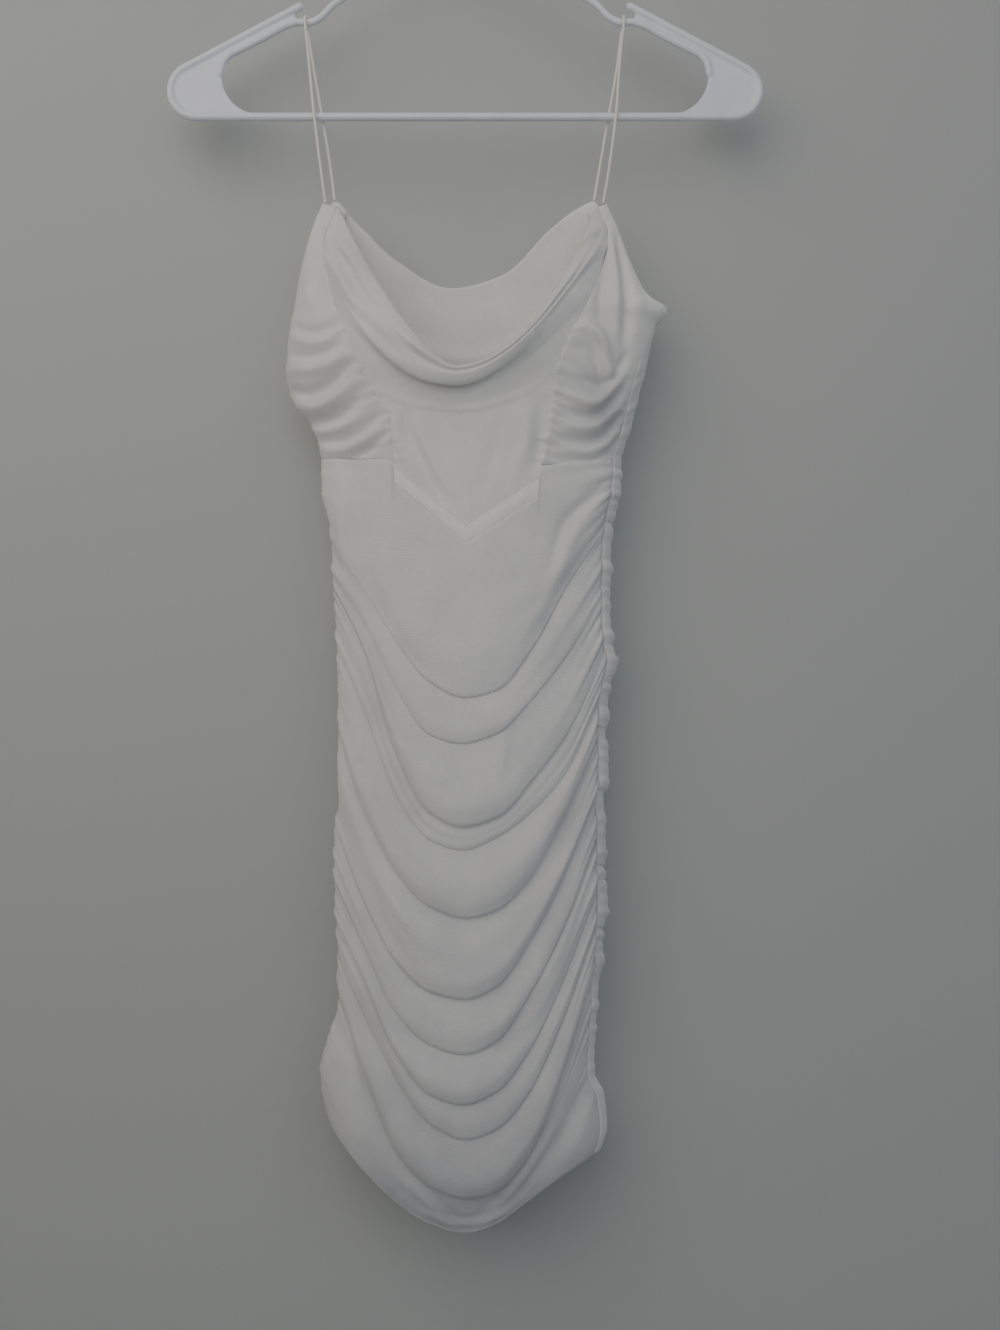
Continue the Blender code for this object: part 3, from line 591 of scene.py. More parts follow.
def smooth_path(places, steps):
    """Points of a smooth curve through the places."""
    places = np.asarray(places, float)
    ends = np.vstack([places[:1], places, places[-1:]])
    t = (np.arange(steps) / steps)[:, None]
    found = []
    for p, q, r, s in zip(ends, ends[1:], ends[2:], ends[3:]):
        bend = 2.0 * p - 5.0 * q + 4.0 * r - s
        turn = 3.0 * q - p - 3.0 * r + s
        found.append(0.5 * (2.0 * q + (r - p) * t + bend * t**2 + turn * t**3))
    return np.vstack(found + [places[-1:]])


def fold_field(folds, x, height):
    """How far the soft folds raise the cloth at each place; each fades out towards its ends."""
    total = np.zeros(np.broadcast(x, height).shape)
    for fold in folds:
        path = smooth_path(fold.line, 5)
        nearest = np.full(total.shape, 1e9)
        along = np.zeros(total.shape)
        count = len(path) - 1
        for k, (a, b) in enumerate(zip(path, path[1:])):
            step = b - a
            off_x, off_height = x - a[0], height - a[1]
            t = np.clip((off_x * step[0] + off_height * step[1]) / (step @ step), 0.0, 1.0)
            distance = np.hypot(off_x - t * step[0], off_height - t * step[1])
            closer = distance < nearest
            nearest = np.where(closer, distance, nearest)
            along = np.where(closer, (k + t) / count, along)
        fade = np.sin(math.pi * mix(0.1, 0.9, along))
        total += fold.lift * fade * np.exp(-((nearest / fold.width) ** 2))
    return total


def pleats(seam_height, spacing=GATHER_SPACING):
    """The uneven row of gathers along a seam: 0 between two gathers and 1 on top of one."""
    drift = 0.45 * np.sin(seam_height / 23.0 + 1.3)
    phase = seam_height / spacing + drift + 0.25 * np.sin(seam_height / 9.7)
    size = 0.7 + 0.3 * np.sin(2.6 * np.floor(phase) + 0.7)
    return size * np.abs(np.sin(math.pi * phase)) ** 0.8, size


def gathered(table, seam_height, distance, spacing=GATHER_SPACING):
    """How far the gathers of a seam lift the cloth at a distance from it."""
    bulge, size = pleats(seam_height, spacing)
    depth, reach = column(table, "depth", seam_height), column(table, "reach", seam_height) * size
    drawn_in = 0.55 + 0.45 * rises(distance, 3.0)
    return depth * bulge * drawn_in * fades(distance, reach)


def allowance(points, edge, steps):
    """The grid with a seam allowance on one edge, which turns under the piece it is sewn to."""
    if edge in ("left", "right"):
        turned = allowance(points.transpose(1, 0, 2), "top" if edge == "left" else "bottom", steps)
        return turned.transpose(1, 0, 2)
    if edge == "top":
        return allowance(points[::-1], "bottom", steps)[::-1]
    last, before = points[-1], points[-4]
    out = last - before
    along = np.gradient(last, axis=0)
    inwards = np.cross(along, out)
    to_axis = last * (-1.0, -1.0, 0.0)
    facing = np.sign(np.sum(np.sign(np.sum(inwards * to_axis, axis=1)))) or 1.0
    out, inwards = soften(out), soften(inwards * facing)
    rows = [last + reach * out + sink * inwards for reach, sink in steps]
    return np.concatenate([points, np.array(rows)])


def soften(vectors, reach=5):
    """Unit vectors averaged with their neighbours along an edge."""
    kernel = np.ones(2 * reach + 1) / (2 * reach + 1)
    padded = np.pad(vectors, ((reach, reach), (0, 0)), mode="edge")
    mean = np.stack([np.convolve(padded[:, k], kernel, mode="valid") for k in range(3)], axis=1)
    return mean / np.maximum(np.linalg.norm(mean, axis=1), 1e-9)[:, None]


def blended(field, reach, times=2):
    """A field averaged down its columns, so that no crease is sharper than cloth folds."""
    rows = len(field)
    for _ in range(times):
        padded = np.pad(field, ((reach, reach), (0, 0)), mode="edge")
        field = sum(padded[k : k + rows] for k in range(2 * reach + 1)) / (2 * reach + 1)
    return field


def row_distance(points):
    """The distance of every point from the first one of its row, along the row."""
    steps = np.linalg.norm(np.diff(points, axis=1), axis=2)
    return np.concatenate([np.zeros((len(points), 1)), np.cumsum(steps, axis=1)], axis=1)


# ---------------------------------------------------------------- the skirt and the back


def front_seam(angle):
    """Height of the skirt's upper edge: level under the cups and a V between them."""
    x = skin(angle, UNDERBUST)[..., 0]
    v_left, v_right = angle_at(V_LEFT, UNDERBUST), angle_at(V_RIGHT, UNDERBUST)
    left = mix(CUP_LOW_LEFT, UNDERBUST, (angle - v_left) / (180.0 - v_left))
    right = mix(CUP_LOW_RIGHT, UNDERBUST, (v_right - angle) / v_right)
    v_down = mix(V_POINT, V_LEFT_HEIGHT, (x - V_X) / (V_LEFT - V_X))
    v_up = mix(V_POINT, V_RIGHT_HEIGHT, (x - V_X) / (V_RIGHT - V_X))
    middle = np.where(x < V_X, v_down, v_up)
    return np.where(angle > v_left, left, np.where(angle < v_right, right, middle))


def swell_out(w, gap):
    """A swag's profile: a slow swell, then a soft roll back towards the crease beneath."""
    turn = np.clip(1.0 - gap * (1.0 - w) / np.minimum(ROLL, 0.5 * gap), 0.0, 1.0)
    return (1.0 - (1.0 - w) ** 1.7) * (1.0 - ROLL_BACK * turn * turn)


def swag_grid(top, swags, share, fade, seed):
    """Rows of (height, lift, left seam height, right seam height) down through the swags.

    Each swag swells out slowly to its lip, then turns under and is tucked up a little.
    """
    draw = np.random.default_rng(seed)
    lines = [top] + [curve(PLACES, swag.heights, share) for swag in swags]
    for k in range(1, len(swags)):
        lines[k] = lines[k] + WAVER * np.sin(share * draw.uniform(3.0, 7.0) + draw.uniform(0, 6))
    keeps = [np.zeros_like(share)]
    for swag in swags:
        keep = np.where(share < 0.0, swag.left_keep, swag.right_keep)
        keeps.append(mix(1.0, keep, np.abs(share) ** 1.6) * swag.lift * fade)
    tucks = [np.zeros_like(share)] + [swag.tuck * mix(1.0, 0.5, share**2) for swag in swags]
    heights, lifts, lefts, rights = [], [], [], []

    def add(height, lift, left, right):
        heights.append(height)
        lifts.append(lift)
        lefts.append(np.full_like(share, left))
        rights.append(np.full_like(share, right))

    for i in range(len(swags)):
        high, low = lines[i], lines[i + 1]
        left_high, right_high = (high[0], high[-1]) if i else (UNDERBUST, UNDERBUST)
        left_low, right_low = low[0], low[-1]
        gap = np.maximum(high - low, 1.0)
        ditch = np.minimum(DITCH, 0.2 * gap) if i else np.zeros_like(share)
        if i:
            for j in range(TUCK_ROWS):
                w = j / TUCK_ROWS
                curl = math.sin(math.pi * w) ** 2 - 0.5 * math.sin(math.pi * w) * (1.0 - w)
                tuck = 0.7 * np.minimum(tucks[i], 0.25 * gap)
                add(
                    high + tuck * curl - ditch * w,
                    keeps[i] * (1.0 - ROLL_BACK) * 0.5 * (1.0 + math.cos(math.pi * w)),
                    mix(left_high, left_low, 0.05 * w),
                    mix(right_high, right_low, 0.05 * w),
                )
        count = max(8, int(round(np.max(gap) / ROW_STEP)))
        evened = blended(high[:, None], 4)[:, 0] if i == 0 else high
        lesser = [
            (
                draw.uniform(0.15, 0.85),
                draw.uniform(0.06, 0.14),
                draw.uniform(0.7, 1.9) * draw.choice((-1.0, 1.0)),
                draw.uniform(-0.9, 0.9),
                draw.uniform(0.25, 0.6),
                draw.uniform(-0.25, 0.25),
            )
            for _ in range(LESSER_FOLDS)
        ]
        last = i == len(swags) - 1
        for j in range(count + (1 if last else 0)):
            w = j / count
            height = mix(evened - ditch, low, w) + (high - evened) * (1.0 - w) ** 8
            down = np.full_like(share, w) if i else (UNDERBUST - height) / (UNDERBUST - low)
            lift = keeps[i + 1] * swell_out(down, gap)
            for at, width, depth, middle, spread, lean in lesser:
                place = at + lean * (share - middle)
                reach = np.exp(-(((share - middle) / spread) ** 2)) * np.sin(math.pi * down)
                lift = lift + depth * reach * np.exp(-(((down - place) / width) ** 2))
            seamed = mix(0.05, 1.0, w) if i else down
            left, right = mix(left_high, left_low, seamed), mix(right_high, right_low, seamed)
            add(height, lift, left, right)
    return [np.array(rows) for rows in (heights, lifts, lefts, rights)]


def held(lift, from_left, from_right):
    """The lift brought down to nothing at both side seams."""
    return lift * rises(from_left, SEAM_EASE) * rises(from_right, SEAM_EASE)


def front_skirt():
    angle = np.linspace(180.0 - SEAM_TURN, RIGHT_SEAM_ANGLE + SEAM_TURN, SKIRT_COLUMNS + 1)
    cosine = np.cos(np.radians(angle))
    share = np.where(cosine > 0.0, cosine / math.cos(math.radians(RIGHT_SEAM_ANGLE)), cosine)
    fade = 1.0 - 0.3 * cosine**2
    top = front_seam(angle) - SEAM_GAP
    height, lift, left, right = swag_grid(top, FRONT_SWAGS, share, fade, SKIRT_SEED)
    angles = np.broadcast_to(angle, height.shape)
    flat = skin(angles, height, 0.0, left, right)
    from_left = row_distance(flat)
    from_right = from_left[:, -1:] - from_left
    lift = blended(lift, 2) + fold_field(SKIRT_FOLDS, flat[..., 0], height)
    lift = held(lift, from_left, from_right) + gathered(LEFT_GATHERS, left, from_left)
    lift = lift + gathered(RIGHT_GATHERS, right, from_right)
    return skin(angles, height, lift, left, right), from_left, from_right


def seamward(angle, height):
    """Moves the back's first columns round to the right side seam."""
    seam = right_seam_angle(height) - SEAM_TURN
    strap = STRAP_ANGLE_RIGHT
    turned = mix(strap, seam, (angle - strap) / (BACK_FIRST_ANGLE - strap))
    return np.where(angle < strap, np.maximum(angle, SEAM_TURN - 180.0), turned)


def back_cloth():
    angle = np.linspace(BACK_FIRST_ANGLE, -180.0, BACK_COLUMNS + 1)
    share = np.where(
        angle > BACK_MIDDLE,
        np.sin(np.radians(90.0 * (angle - BACK_MIDDLE) / (BACK_FIRST_ANGLE - BACK_MIDDLE))),
        -np.sin(np.radians(90.0 * (BACK_MIDDLE - angle) / (180.0 + BACK_MIDDLE))),
    )
    fade = 1.0 - 0.3 * np.cos(np.radians(angle)) ** 2
    top = column(BACK_EDGE, "height", angle, "angle")
    rows = BACK_UPPER_ROWS
    upper = np.array([mix(top, UNDERBUST, k / rows) for k in range(rows)])
    level = np.full_like(share, UNDERBUST)
    height, lift, left, right = swag_grid(level, BACK_SWAGS, share, fade, BACK_SEED)
    # The swag tables run from left to right, and the back's columns from right to left.
    left, right = right, left
    height = np.concatenate([upper, height])
    left = np.concatenate([np.broadcast_to(upper[:, -1:], upper.shape), left])
    right = np.concatenate([np.broadcast_to(upper[:, :1], upper.shape), right])
    lift = np.concatenate([np.zeros_like(upper), lift])
    outline_left = np.concatenate([upper, left[rows:]])
    outline_right = np.concatenate([upper, right[rows:]])
    angles = seamward(np.broadcast_to(angle, height.shape), height)
    flat = skin(angles, height, 0.0, outline_left, outline_right)
    from_right = row_distance(flat)
    from_left = from_right[:, -1:] - from_right
    lift = blended(lift, 1) + fold_field(BACK_FOLDS, flat[..., 0], height)
    lift = held(lift, from_left, from_right)
    pulled = gathered(LEFT_GATHERS, np.minimum(left, UNDERBUST), from_left)
    pulled = pulled * ramp(LEFT_GATHERS_TOP, height, 40.0)
    pulled = pulled + gathered(RIGHT_GATHERS, np.minimum(right, UNDERARM), from_right)
    lift = (lift + pulled) * ramp(top, height, EDGE_EASE)
    return skin(angles, height, lift, outline_left, outline_right), from_left, from_right


# ---------------------------------------------------------------- the bodice


def across(line, share):
    """Points of a line across the centre front, share from -1 at its left to 1."""
    left = share < 0.0
    away = np.abs(share)
    x = mix(line.low_x, np.where(left, line.left_x, line.right_x), away)
    height = np.where(
        left,
        mix(line.low, line.left, away**line.left_bend),
        mix(line.low, line.right, away**line.right_bend),
    )
    return x, height, mix(line.lift, line.end_lift, share * share)


def centre_front():
    share = np.linspace(-1.0, 1.0, CENTRE_COLUMNS + 1)
    index = np.arange(len(CENTRE_FRONT), dtype=float)
    fine = [k + j / count for k, count in enumerate(CENTRE_ROWS) for j in range(count)]
    fine = np.array(fine + [index[-1]])
    coarse = zip(*(across(line, share) for line in CENTRE_FRONT))

    def down(lines):
        return np.stack([curve(index, column_values, fine) for column_values in zip(*lines)], axis=1)

    x, height, lift = (down(part) for part in coarse)
    distance = np.minimum(share + 1.0, 1.0 - share) * PANEL_HALF
    fine = fine[:, None]
    outside = ramp(FACING_LINE, fine, 0.6)
    lift = lift * mix(1.0, rises(distance, 5.0), outside)
    lift = lift + outside * fold_field(CENTRE_FOLDS, x, height)
    # The princess seams pucker the panel's edges below the cowl.
    below = ramp(COWL_LINE, fine, 1.5) * np.clip(fine / 0.6, 0.0, 1.0)
    bulge, _ = pleats(height, PRINCESS_SPACING)
    lift = lift + below * 1.1 * bulge * fades(distance, 8.0)
    edge_depth = mix(0.3, 0.15, ramp(COWL_LINE, fine, 1.5))
    lift = lift - edge_depth * fades(distance, 1.4) - 0.5 * np.exp(-fine * 12.0)
    # Below the bust its side allowances reach under the cups and the skirt.
    turned = np.maximum(ramp(TURN_TOP, height[:, :1], 8.0), 0.01)
    first, last = x[:, :1], x[:, -1:]
    outer, inner = 4.0 * turned, 2.0 * turned
    x = np.hstack([first - outer, first - inner, x, last + inner, last + outer])
    lift = np.pad(lift, ((0, 0), (2, 2)), mode="edge")
    lift[:, (1, -2)] -= 0.45 * turned
    lift[:, (0, -1)] -= 0.7 * turned
    height = np.pad(height, ((0, 0), (2, 2)), mode="edge")
    return skin_at(x, height, lift)[::-1], height[::-1], x[::-1]


def band():
    """The doubled allowance of the V seam, laid on the centre front."""
    seam = CENTRE_FRONT[0]
    share = np.linspace(-0.98, 0.98, 121)
    x, low, _ = across(seam, share)
    rows = []
    for k in range(BAND_ROWS + 1):
        up = k / BAND_ROWS
        roll = math.sin(math.pi * up) ** 0.6
        ripple = 0.22 * np.sin(x / 3.1 + 1.7 * up) + 0.18 * np.sin(x / 1.9)
        lift = 0.5 * up - 0.15 + (1.1 + ripple) * roll
        rows.append(skin_at(x, low + 0.4 + BAND_WIDTH * up, lift))
    return np.array(rows[::-1])


def cup(seam, folds, side):
    """A cup from its outer edge to its inner seam, side -1 at the left and 1 at the right."""
    down = np.linspace(0.0, 1.0, CUP_ROWS + 1)[:, None]
    way = np.linspace(0.0, 1.0, CUP_COLUMNS + 1)[None, :]
    inner = mix(seam[-1].height, seam[0].height, down)
    ruffled = ramp(RUFFLE_TOP, inner, 18.0)
    ruffle, _ = pleats(inner, CUP_SPACING)
    inner_x = column(seam, "x", inner) - side * (0.6 + ruffled * (0.7 + 1.8 * ruffle))
    outer = mix(CUP_TOP, UNDERBUST + SEAM_GAP, down)
    turn = right_seam_angle(outer) + SEAM_TURN if side > 0 else 180.0 - SEAM_TURN
    angle = mix(turn, angle_at(inner_x, inner), way)
    height = mix(outer, inner, way)
    corner = angle_at(V_LEFT if side < 0 else V_RIGHT, UNDERBUST) - 0.5 * side
    lower_edge = (np.maximum if side < 0 else np.minimum)(angle[-1:], corner)
    height = height + down**4 * (front_seam(lower_edge) - height[-1:])
    flat = skin(angle, height)
    distance = row_distance(flat)
    to_seam = distance[:, -1:] - distance
    rounded = rises(to_seam, 4.0)
    lift = fold_field(folds, flat[..., 0], height) * rounded * rises(distance, 4.0)
    low = ramp(CUP_FOLDS_TOP, height, 20.0)
    above_edge = height - height[-1:]
    bulge, size = pleats(height + 0.3 * to_seam, CUP_SPACING)
    lift = lift + low * 3.0 * (bulge - 0.25) * rounded * fades(to_seam, 14.0 * size)
    lift = lift * rises(above_edge, 4.0)
    lift = lift + low * (0.25 + RUFFLE_LIFT[side] * bulge) * fades(to_seam, 4.5)
    if side > 0:
        lift = lift + gathered(RIGHT_GATHERS, height, distance) * ramp(RUFFLE_TOP, height, 20.0)
    else:
        lift = lift + 1.5 * ramp(LEFT_GATHERS_TOP, height, 30.0) * bulge * fades(distance, 8.0)
    lift = lift - 0.12 * fades(to_seam, 1.2) - 0.5 * fades(above_edge, 1.3)
    points = skin(angle, height, lift)
    return points if side < 0 else points[:, ::-1]


# ---------------------------------------------------------------- meshes


def new_object(name, mesh):
    made = bpy.data.objects.new(name, mesh)
    bpy.context.scene.collection.objects.link(made)
    return made


def applied(made):
    """The object with its modifiers made part of its mesh."""
    graph = bpy.context.evaluated_depsgraph_get()
    mesh = bpy.data.meshes.new_from_object(made.evaluated_get(graph))
    made.modifiers.clear()
    made.data = mesh
    mesh.name = made.name
    return made


def painted(made, material):
    made.data.materials.clear()
    made.data.materials.append(material)
    return made


def widen(points, cover_and_painted_light, edge, steps=ALLOWANCE):
    """A grid and its cover with the painted light it carries, with a seam allowance on one edge."""
    n = len(steps)
    pad = {"top": ((n, 0), (0, 0)), "left": ((0, 0), (n, 0)), "right": ((0, 0), (0, n))}
    return allowance(points, edge, steps), np.pad(cover_and_painted_light, pad[edge], mode="edge")


def grid_mesh(name, points, cover_and_painted_light=None):
    """A mesh of rows of points, with its own size as UV map, in metres."""
    rows, columns = points.shape[:2]
    number = np.arange(rows * columns).reshape(rows, columns)
    faces = np.stack([number[:-1, :-1], number[1:, :-1], number[1:, 1:], number[:-1, 1:]], axis=-1)
    faces = faces.reshape(-1, 4)
    mesh = bpy.data.meshes.new(name)
    mesh.from_pydata((points.reshape(-1, 3) * MM).tolist(), [], faces.tolist())
    along = row_distance(points)
    along = along - along[:, columns // 2 : columns // 2 + 1]
    down = np.mean(row_distance(points.transpose(1, 0, 2)), axis=0)
    uv = np.stack(np.broadcast_arrays(along, -down[:, None]), axis=-1).reshape(-1, 2) * MM
    layer = mesh.uv_layers.new(name="cut")
    layer.data.foreach_set("uv", uv[faces.reshape(-1)].reshape(-1).astype(np.float32))
    shade = mesh.attributes.new("cover_and_painted_light", "FLOAT", "POINT")
    values = np.full((rows, columns), 0.5) if cover_and_painted_light is None else np.clip(cover_and_painted_light, 0.0, 1.0)
    shade.data.foreach_set("value", values.reshape(-1).astype(np.float32))
    mesh.shade_smooth()
    return mesh


def cloth(name, points, material, wall=CLOTH_WALL, cover_and_painted_light=None):
    made = new_object(name, grid_mesh(name, points, cover_and_painted_light))
    solidify = made.modifiers.new("wall", "SOLIDIFY")
    solidify.thickness = wall * MM
    solidify.offset = -1.0
    return painted(applied(made), material)


def tube_mesh(name, path, radius, sides=16):
    """A round tube along the points with rounded ends, its frame carried along the path."""
    path = np.asarray(path, float)
    tangent = np.gradient(path, axis=0)
    tangent /= np.linalg.norm(tangent, axis=1)[:, None]
    normal = np.cross(tangent[0], (0.0, 1.0, 0.0))
    if np.linalg.norm(normal) < 0.1:
        normal = np.cross(tangent[0], (1.0, 0.0, 0.0))
    radii = np.full(len(path), float(radius))
    turns = np.linspace(0.0, math.pi / 2.0, 6)[:-1]
    start = [path[0] - tangent[0] * radius * math.cos(t) for t in turns]
    end = [path[-1] + tangent[-1] * radius * math.cos(t) for t in turns[::-1]]
    path = np.vstack([start, path, end])
    tangent = np.pad(tangent, ((len(turns), len(turns)), (0, 0)), mode="edge")
    round_off = [max(radius * math.sin(t), 0.05 * radius) for t in turns]
    radii = np.concatenate([round_off, radii, round_off[::-1]])
    around = np.arange(sides) * 2.0 * math.pi / sides
    rings = []
    for place, forward, wide in zip(path, tangent, radii):
        normal = normal - forward * (normal @ forward)
        normal /= np.linalg.norm(normal)
        other = np.cross(forward, normal)
        ring = np.outer(np.cos(around), normal) + np.outer(np.sin(around), other)
        rings.append(place + wide * ring)
    points = np.array(rings)
    count = len(points)
    number = np.arange(count * sides).reshape(count, sides)
    after = np.roll(number, -1, axis=1)
    faces = np.stack([number[:-1], after[:-1], after[1:], number[1:]], axis=-1)
    faces = faces.reshape(-1, 4).tolist()
    faces.append(number[0][::-1].tolist())
    faces.append(number[-1].tolist())
    mesh = bpy.data.meshes.new(name)
    mesh.from_pydata((points.reshape(-1, 3) * MM).tolist(), [], faces)
    length = np.concatenate([[0.0], np.cumsum(np.linalg.norm(np.diff(path, axis=0), axis=1))])
    layer = mesh.uv_layers.new(name="cut")
    uv = []
    for face in faces:
        for j, index in enumerate(face):
            turn = (index % sides) / sides
            if len(face) == 4 and j in (1, 2) and index % sides == 0:
                turn = 1.0
            uv.append((turn * 2.0 * math.pi * radius * MM, length[index // sides] * MM))
    layer.data.foreach_set("uv", np.array(uv, np.float32).reshape(-1))
    mesh.shade_smooth()
    return mesh


# ---------------------------------------------------------------- materials


def linear(hex_colour):
    """A colour in sRGB hex as linear red, green, blue and alpha."""
    parts = [int(hex_colour[k : k + 2], 16) / 255.0 for k in (1, 3, 5)]
    parts = [p / 12.92 if p <= 0.04045 else ((p + 0.055) / 1.055) ** 2.4 for p in parts]
    return (*parts, 1.0)


def fill(tree, node, sockets):
    """Gives a node's inputs their values or links."""
    for name, value in dict(sockets).items():
        if isinstance(value, bpy.types.NodeSocket):
            tree.links.new(value, node.inputs[name])
        else:
            node.inputs[name].default_value = value


def add_node(tree, kind, settings=(), sockets=()):
    """A new node: its own settings by name, and its inputs as values or as links."""
    made = tree.nodes.new(kind)
    for name, value in dict(settings).items():
        setattr(made, name, value)
    fill(tree, made, sockets)
    return made


def new_material(name):
    material = bpy.data.materials.new(name)
    material.use_nodes = True
    return material, material.node_tree, material.node_tree.nodes["Principled BSDF"]


def map_place(tree):
    return add_node(tree, "ShaderNodeTexCoord").outputs["Object"]


def map_cut(tree):
    return add_node(tree, "ShaderNodeUVMap", {"uv_map": "cut"}).outputs["UV"]


def noise(tree, place, scale, detail, roughness=0.5):
    sockets = {"Vector": place, "Scale": scale, "Detail": detail, "Roughness": roughness}
    return add_node(tree, "ShaderNodeTexNoise", sockets=sockets).outputs["Fac"]


def strands(tree, uv, degrees, size, **more):
    """Parallel strands a size apart in millimetres, turned by some degrees."""
    turn = {"Vector": uv, "Rotation": (0.0, 0.0, math.radians(degrees))}
    turned = add_node(tree, "ShaderNodeMapping", sockets=turn).outputs["Vector"]
    sockets = {"Vector": turned, "Scale": 0.314 / (size * MM), **more}
    return add_node(tree, "ShaderNodeTexWave", sockets=sockets).outputs["Fac"]


def between(tree, share, low, high):
    """A colour between two, given in sRGB hex."""
    sockets = {0: share, 6: linear(low), 7: linear(high)}
    return add_node(tree, "ShaderNodeMix", {"data_type": "RGBA"}, sockets).outputs[2]


def relief(tree, height, strength, depth):
    """The normal of a surface with a relief of some depth in millimetres."""
    sockets = {"Strength": strength, "Distance": depth * MM, "Height": height}
    return add_node(tree, "ShaderNodeBump", sockets=sockets).outputs["Normal"]


def maths(tree, operation, *values, **settings):
    settings = {"operation": operation, **settings}
    return add_node(tree, "ShaderNodeMath", settings, dict(enumerate(values))).outputs[0]


def stretch_mesh(name, thin_and_shaded, thick_and_lit):
    """Ivory power mesh, warp-knitted: a fine net that reads as a soft, faintly pearly white,
    greyer where one layer hangs clear and creamier where layers lie together. The same
    attribute also carries painted shade, which darkens some places, and painted light, which
    lightens others."""
    material, tree, shader = new_material(name)
    uv = map_cut(tree)
    cover_and_painted_light = add_node(tree, "ShaderNodeAttribute", {"attribute_name": "cover_and_painted_light"}).outputs["Fac"]
    mottle = maths(tree, "MULTIPLY_ADD", noise(tree, map_place(tree), 28.0, 4.0, 0.6), 0.5, -0.25)
    amount = maths(tree, "ADD", cover_and_painted_light, mottle, use_clamp=True)
    # The real net is finer; it is drawn wider here, so that it shows.
    looks = {"Distortion": 0.6, "Detail": 1.0, "Detail Scale": 2.0}
    net = maths(
        tree, "MULTIPLY", *(strands(tree, uv, degrees, NET_SIZE, **looks) for degrees in (58.0, -58.0))
    )
    crepe = maths(tree, "ADD", net, noise(tree, uv, 900.0, 3.0))
    fill(
        tree,
        shader,
        {
            "Base Color": between(tree, amount, thin_and_shaded, thick_and_lit),
            "Normal": relief(tree, crepe, 0.6, NET_DEPTH),
            "Roughness": 0.72,
            "Sheen Weight": 0.25,
            "Sheen Roughness": 0.45,
            "Subsurface Weight": 0.3,
            "Subsurface Radius": (1.0, 0.9, 0.75),
            "Subsurface Scale": 0.004,
        },
    )
    return material


def cord_material():
    """A turned tube of the same mesh, cream where it is doubled, its knit running round it."""
    material, tree, shader = new_material("stretch cord, ivory, turned tube")
    twist = strands(tree, map_cut(tree), 32.0, 1.2, Distortion=0.8)
    fill(
        tree,
        shader,
        {
            "Base Color": between(tree, twist, "#DEDAD0", "#F0ECE3"),
            "Normal": relief(tree, twist, 0.5, 0.2),
            "Roughness": 0.65,
            "Sheen Weight": 0.2,
        },
    )
    return material


def hanger_material():
    """Injection-moulded polypropylene, white with a faint blue: satin, with slight sink marks
    and a little scuffing that breaks up its highlights."""
    material, tree, shader = new_material("polypropylene, white, moulded")
    place = map_place(tree)
    sink = noise(tree, place, 60.0, 2.0)
    scuff = noise(tree, place, 420.0, 5.0, 0.7)
    limits = {"From Min": 0.3, "From Max": 0.7, "To Min": 0.28, "To Max": 0.42}
    dull = add_node(tree, "ShaderNodeMapRange", sockets={"Value": scuff, **limits})
    fill(
        tree,
        shader,
        {
            "Base Color": between(tree, sink, "#D5D9E2", "#E2E5EC"),
            "Normal": relief(tree, sink, 0.2, 0.15),
            "Roughness": dull.outputs["Result"],
            "IOR": 1.49,
            "Subsurface Weight": 0.1,
            "Subsurface Radius": (1.0, 1.0, 1.0),
            "Subsurface Scale": 0.003,
        },
    )
    return material


def thread_material():
    """Spun polyester thread, ivory: short matt stitches a shade creamier than the cloth."""
    material, tree, shader = new_material("polyester thread, ivory, spun")
    ply = noise(tree, map_place(tree), 2500.0, 1.0)
    tone = between(tree, ply, "#CFC9BC", "#E2DDD0")
    fill(tree, shader, {"Base Color": tone, "Roughness": 0.6})
    return material


def stage_material(name, colour):
    """Matt wall paint, with a faint roller stipple, on a sheet that is open from behind."""
    material, tree, shader = new_material(name)
    stipple = relief(tree, noise(tree, map_place(tree), 260.0, 3.0), 0.15, 0.6)
    fill(tree, shader, {"Base Color": linear(colour), "Roughness": 0.9, "Normal": stipple})
    behind = add_node(tree, "ShaderNodeNewGeometry").outputs["Backfacing"]
    clear = add_node(tree, "ShaderNodeBsdfTransparent").outputs[0]
    sheet = {0: behind, 1: shader.outputs[0], 2: clear}
    sides = add_node(tree, "ShaderNodeMixShader", sockets=sheet).outputs[0]
    out = next(node for node in tree.nodes if node.type == "OUTPUT_MATERIAL")
    fill(tree, out, {"Surface": sides})
    return material


# ---------------------------------------------------------------- stitches


def stitch_tree():
    """Geometry Nodes that lay short stitches end to end along a line."""
    tree = bpy.data.node_groups.new("line of stitches", "GeometryNodeTree")
    face = tree.interface
    face.new_socket("Geometry", in_out="INPUT", socket_type="NodeSocketGeometry")
    for name in ("Spacing", "Length", "Thickness"):
        face.new_socket(name, in_out="INPUT", socket_type="NodeSocketFloat")
    face.new_socket("Material", in_out="INPUT", socket_type="NodeSocketMaterial")
    face.new_socket("Geometry", in_out="OUTPUT", socket_type="NodeSocketGeometry")
    given = add_node(tree, "NodeGroupInput").outputs

    def made_by(kind, settings=(), **sockets):
        return add_node(tree, "GeometryNode" + kind, settings, sockets).outputs

    line = made_by("MeshToCurve", Mesh=given["Geometry"])[0]
    points = made_by("CurveToPoints", {"mode": "LENGTH"}, Curve=line, Length=given["Spacing"])
    bead = made_by("MeshUVSphere", Segments=6, Rings=5, Radius=0.5)["Mesh"]
    axes = {"X": given["Thickness"], "Y": given["Thickness"], "Z": given["Length"]}
    size = add_node(tree, "ShaderNodeCombineXYZ", sockets=axes).outputs[0]
    laid = made_by(
        "InstanceOnPoints",
        Points=points["Points"],
        Instance=bead,
        Rotation=points["Rotation"],
        Scale=size,
    )[0]
    real = made_by("RealizeInstances", Geometry=laid)[0]
    made = made_by("SetMaterial", Geometry=real, Material=given["Material"])[0]
    add_node(tree, "NodeGroupOutput", sockets={"Geometry": made})
    return tree


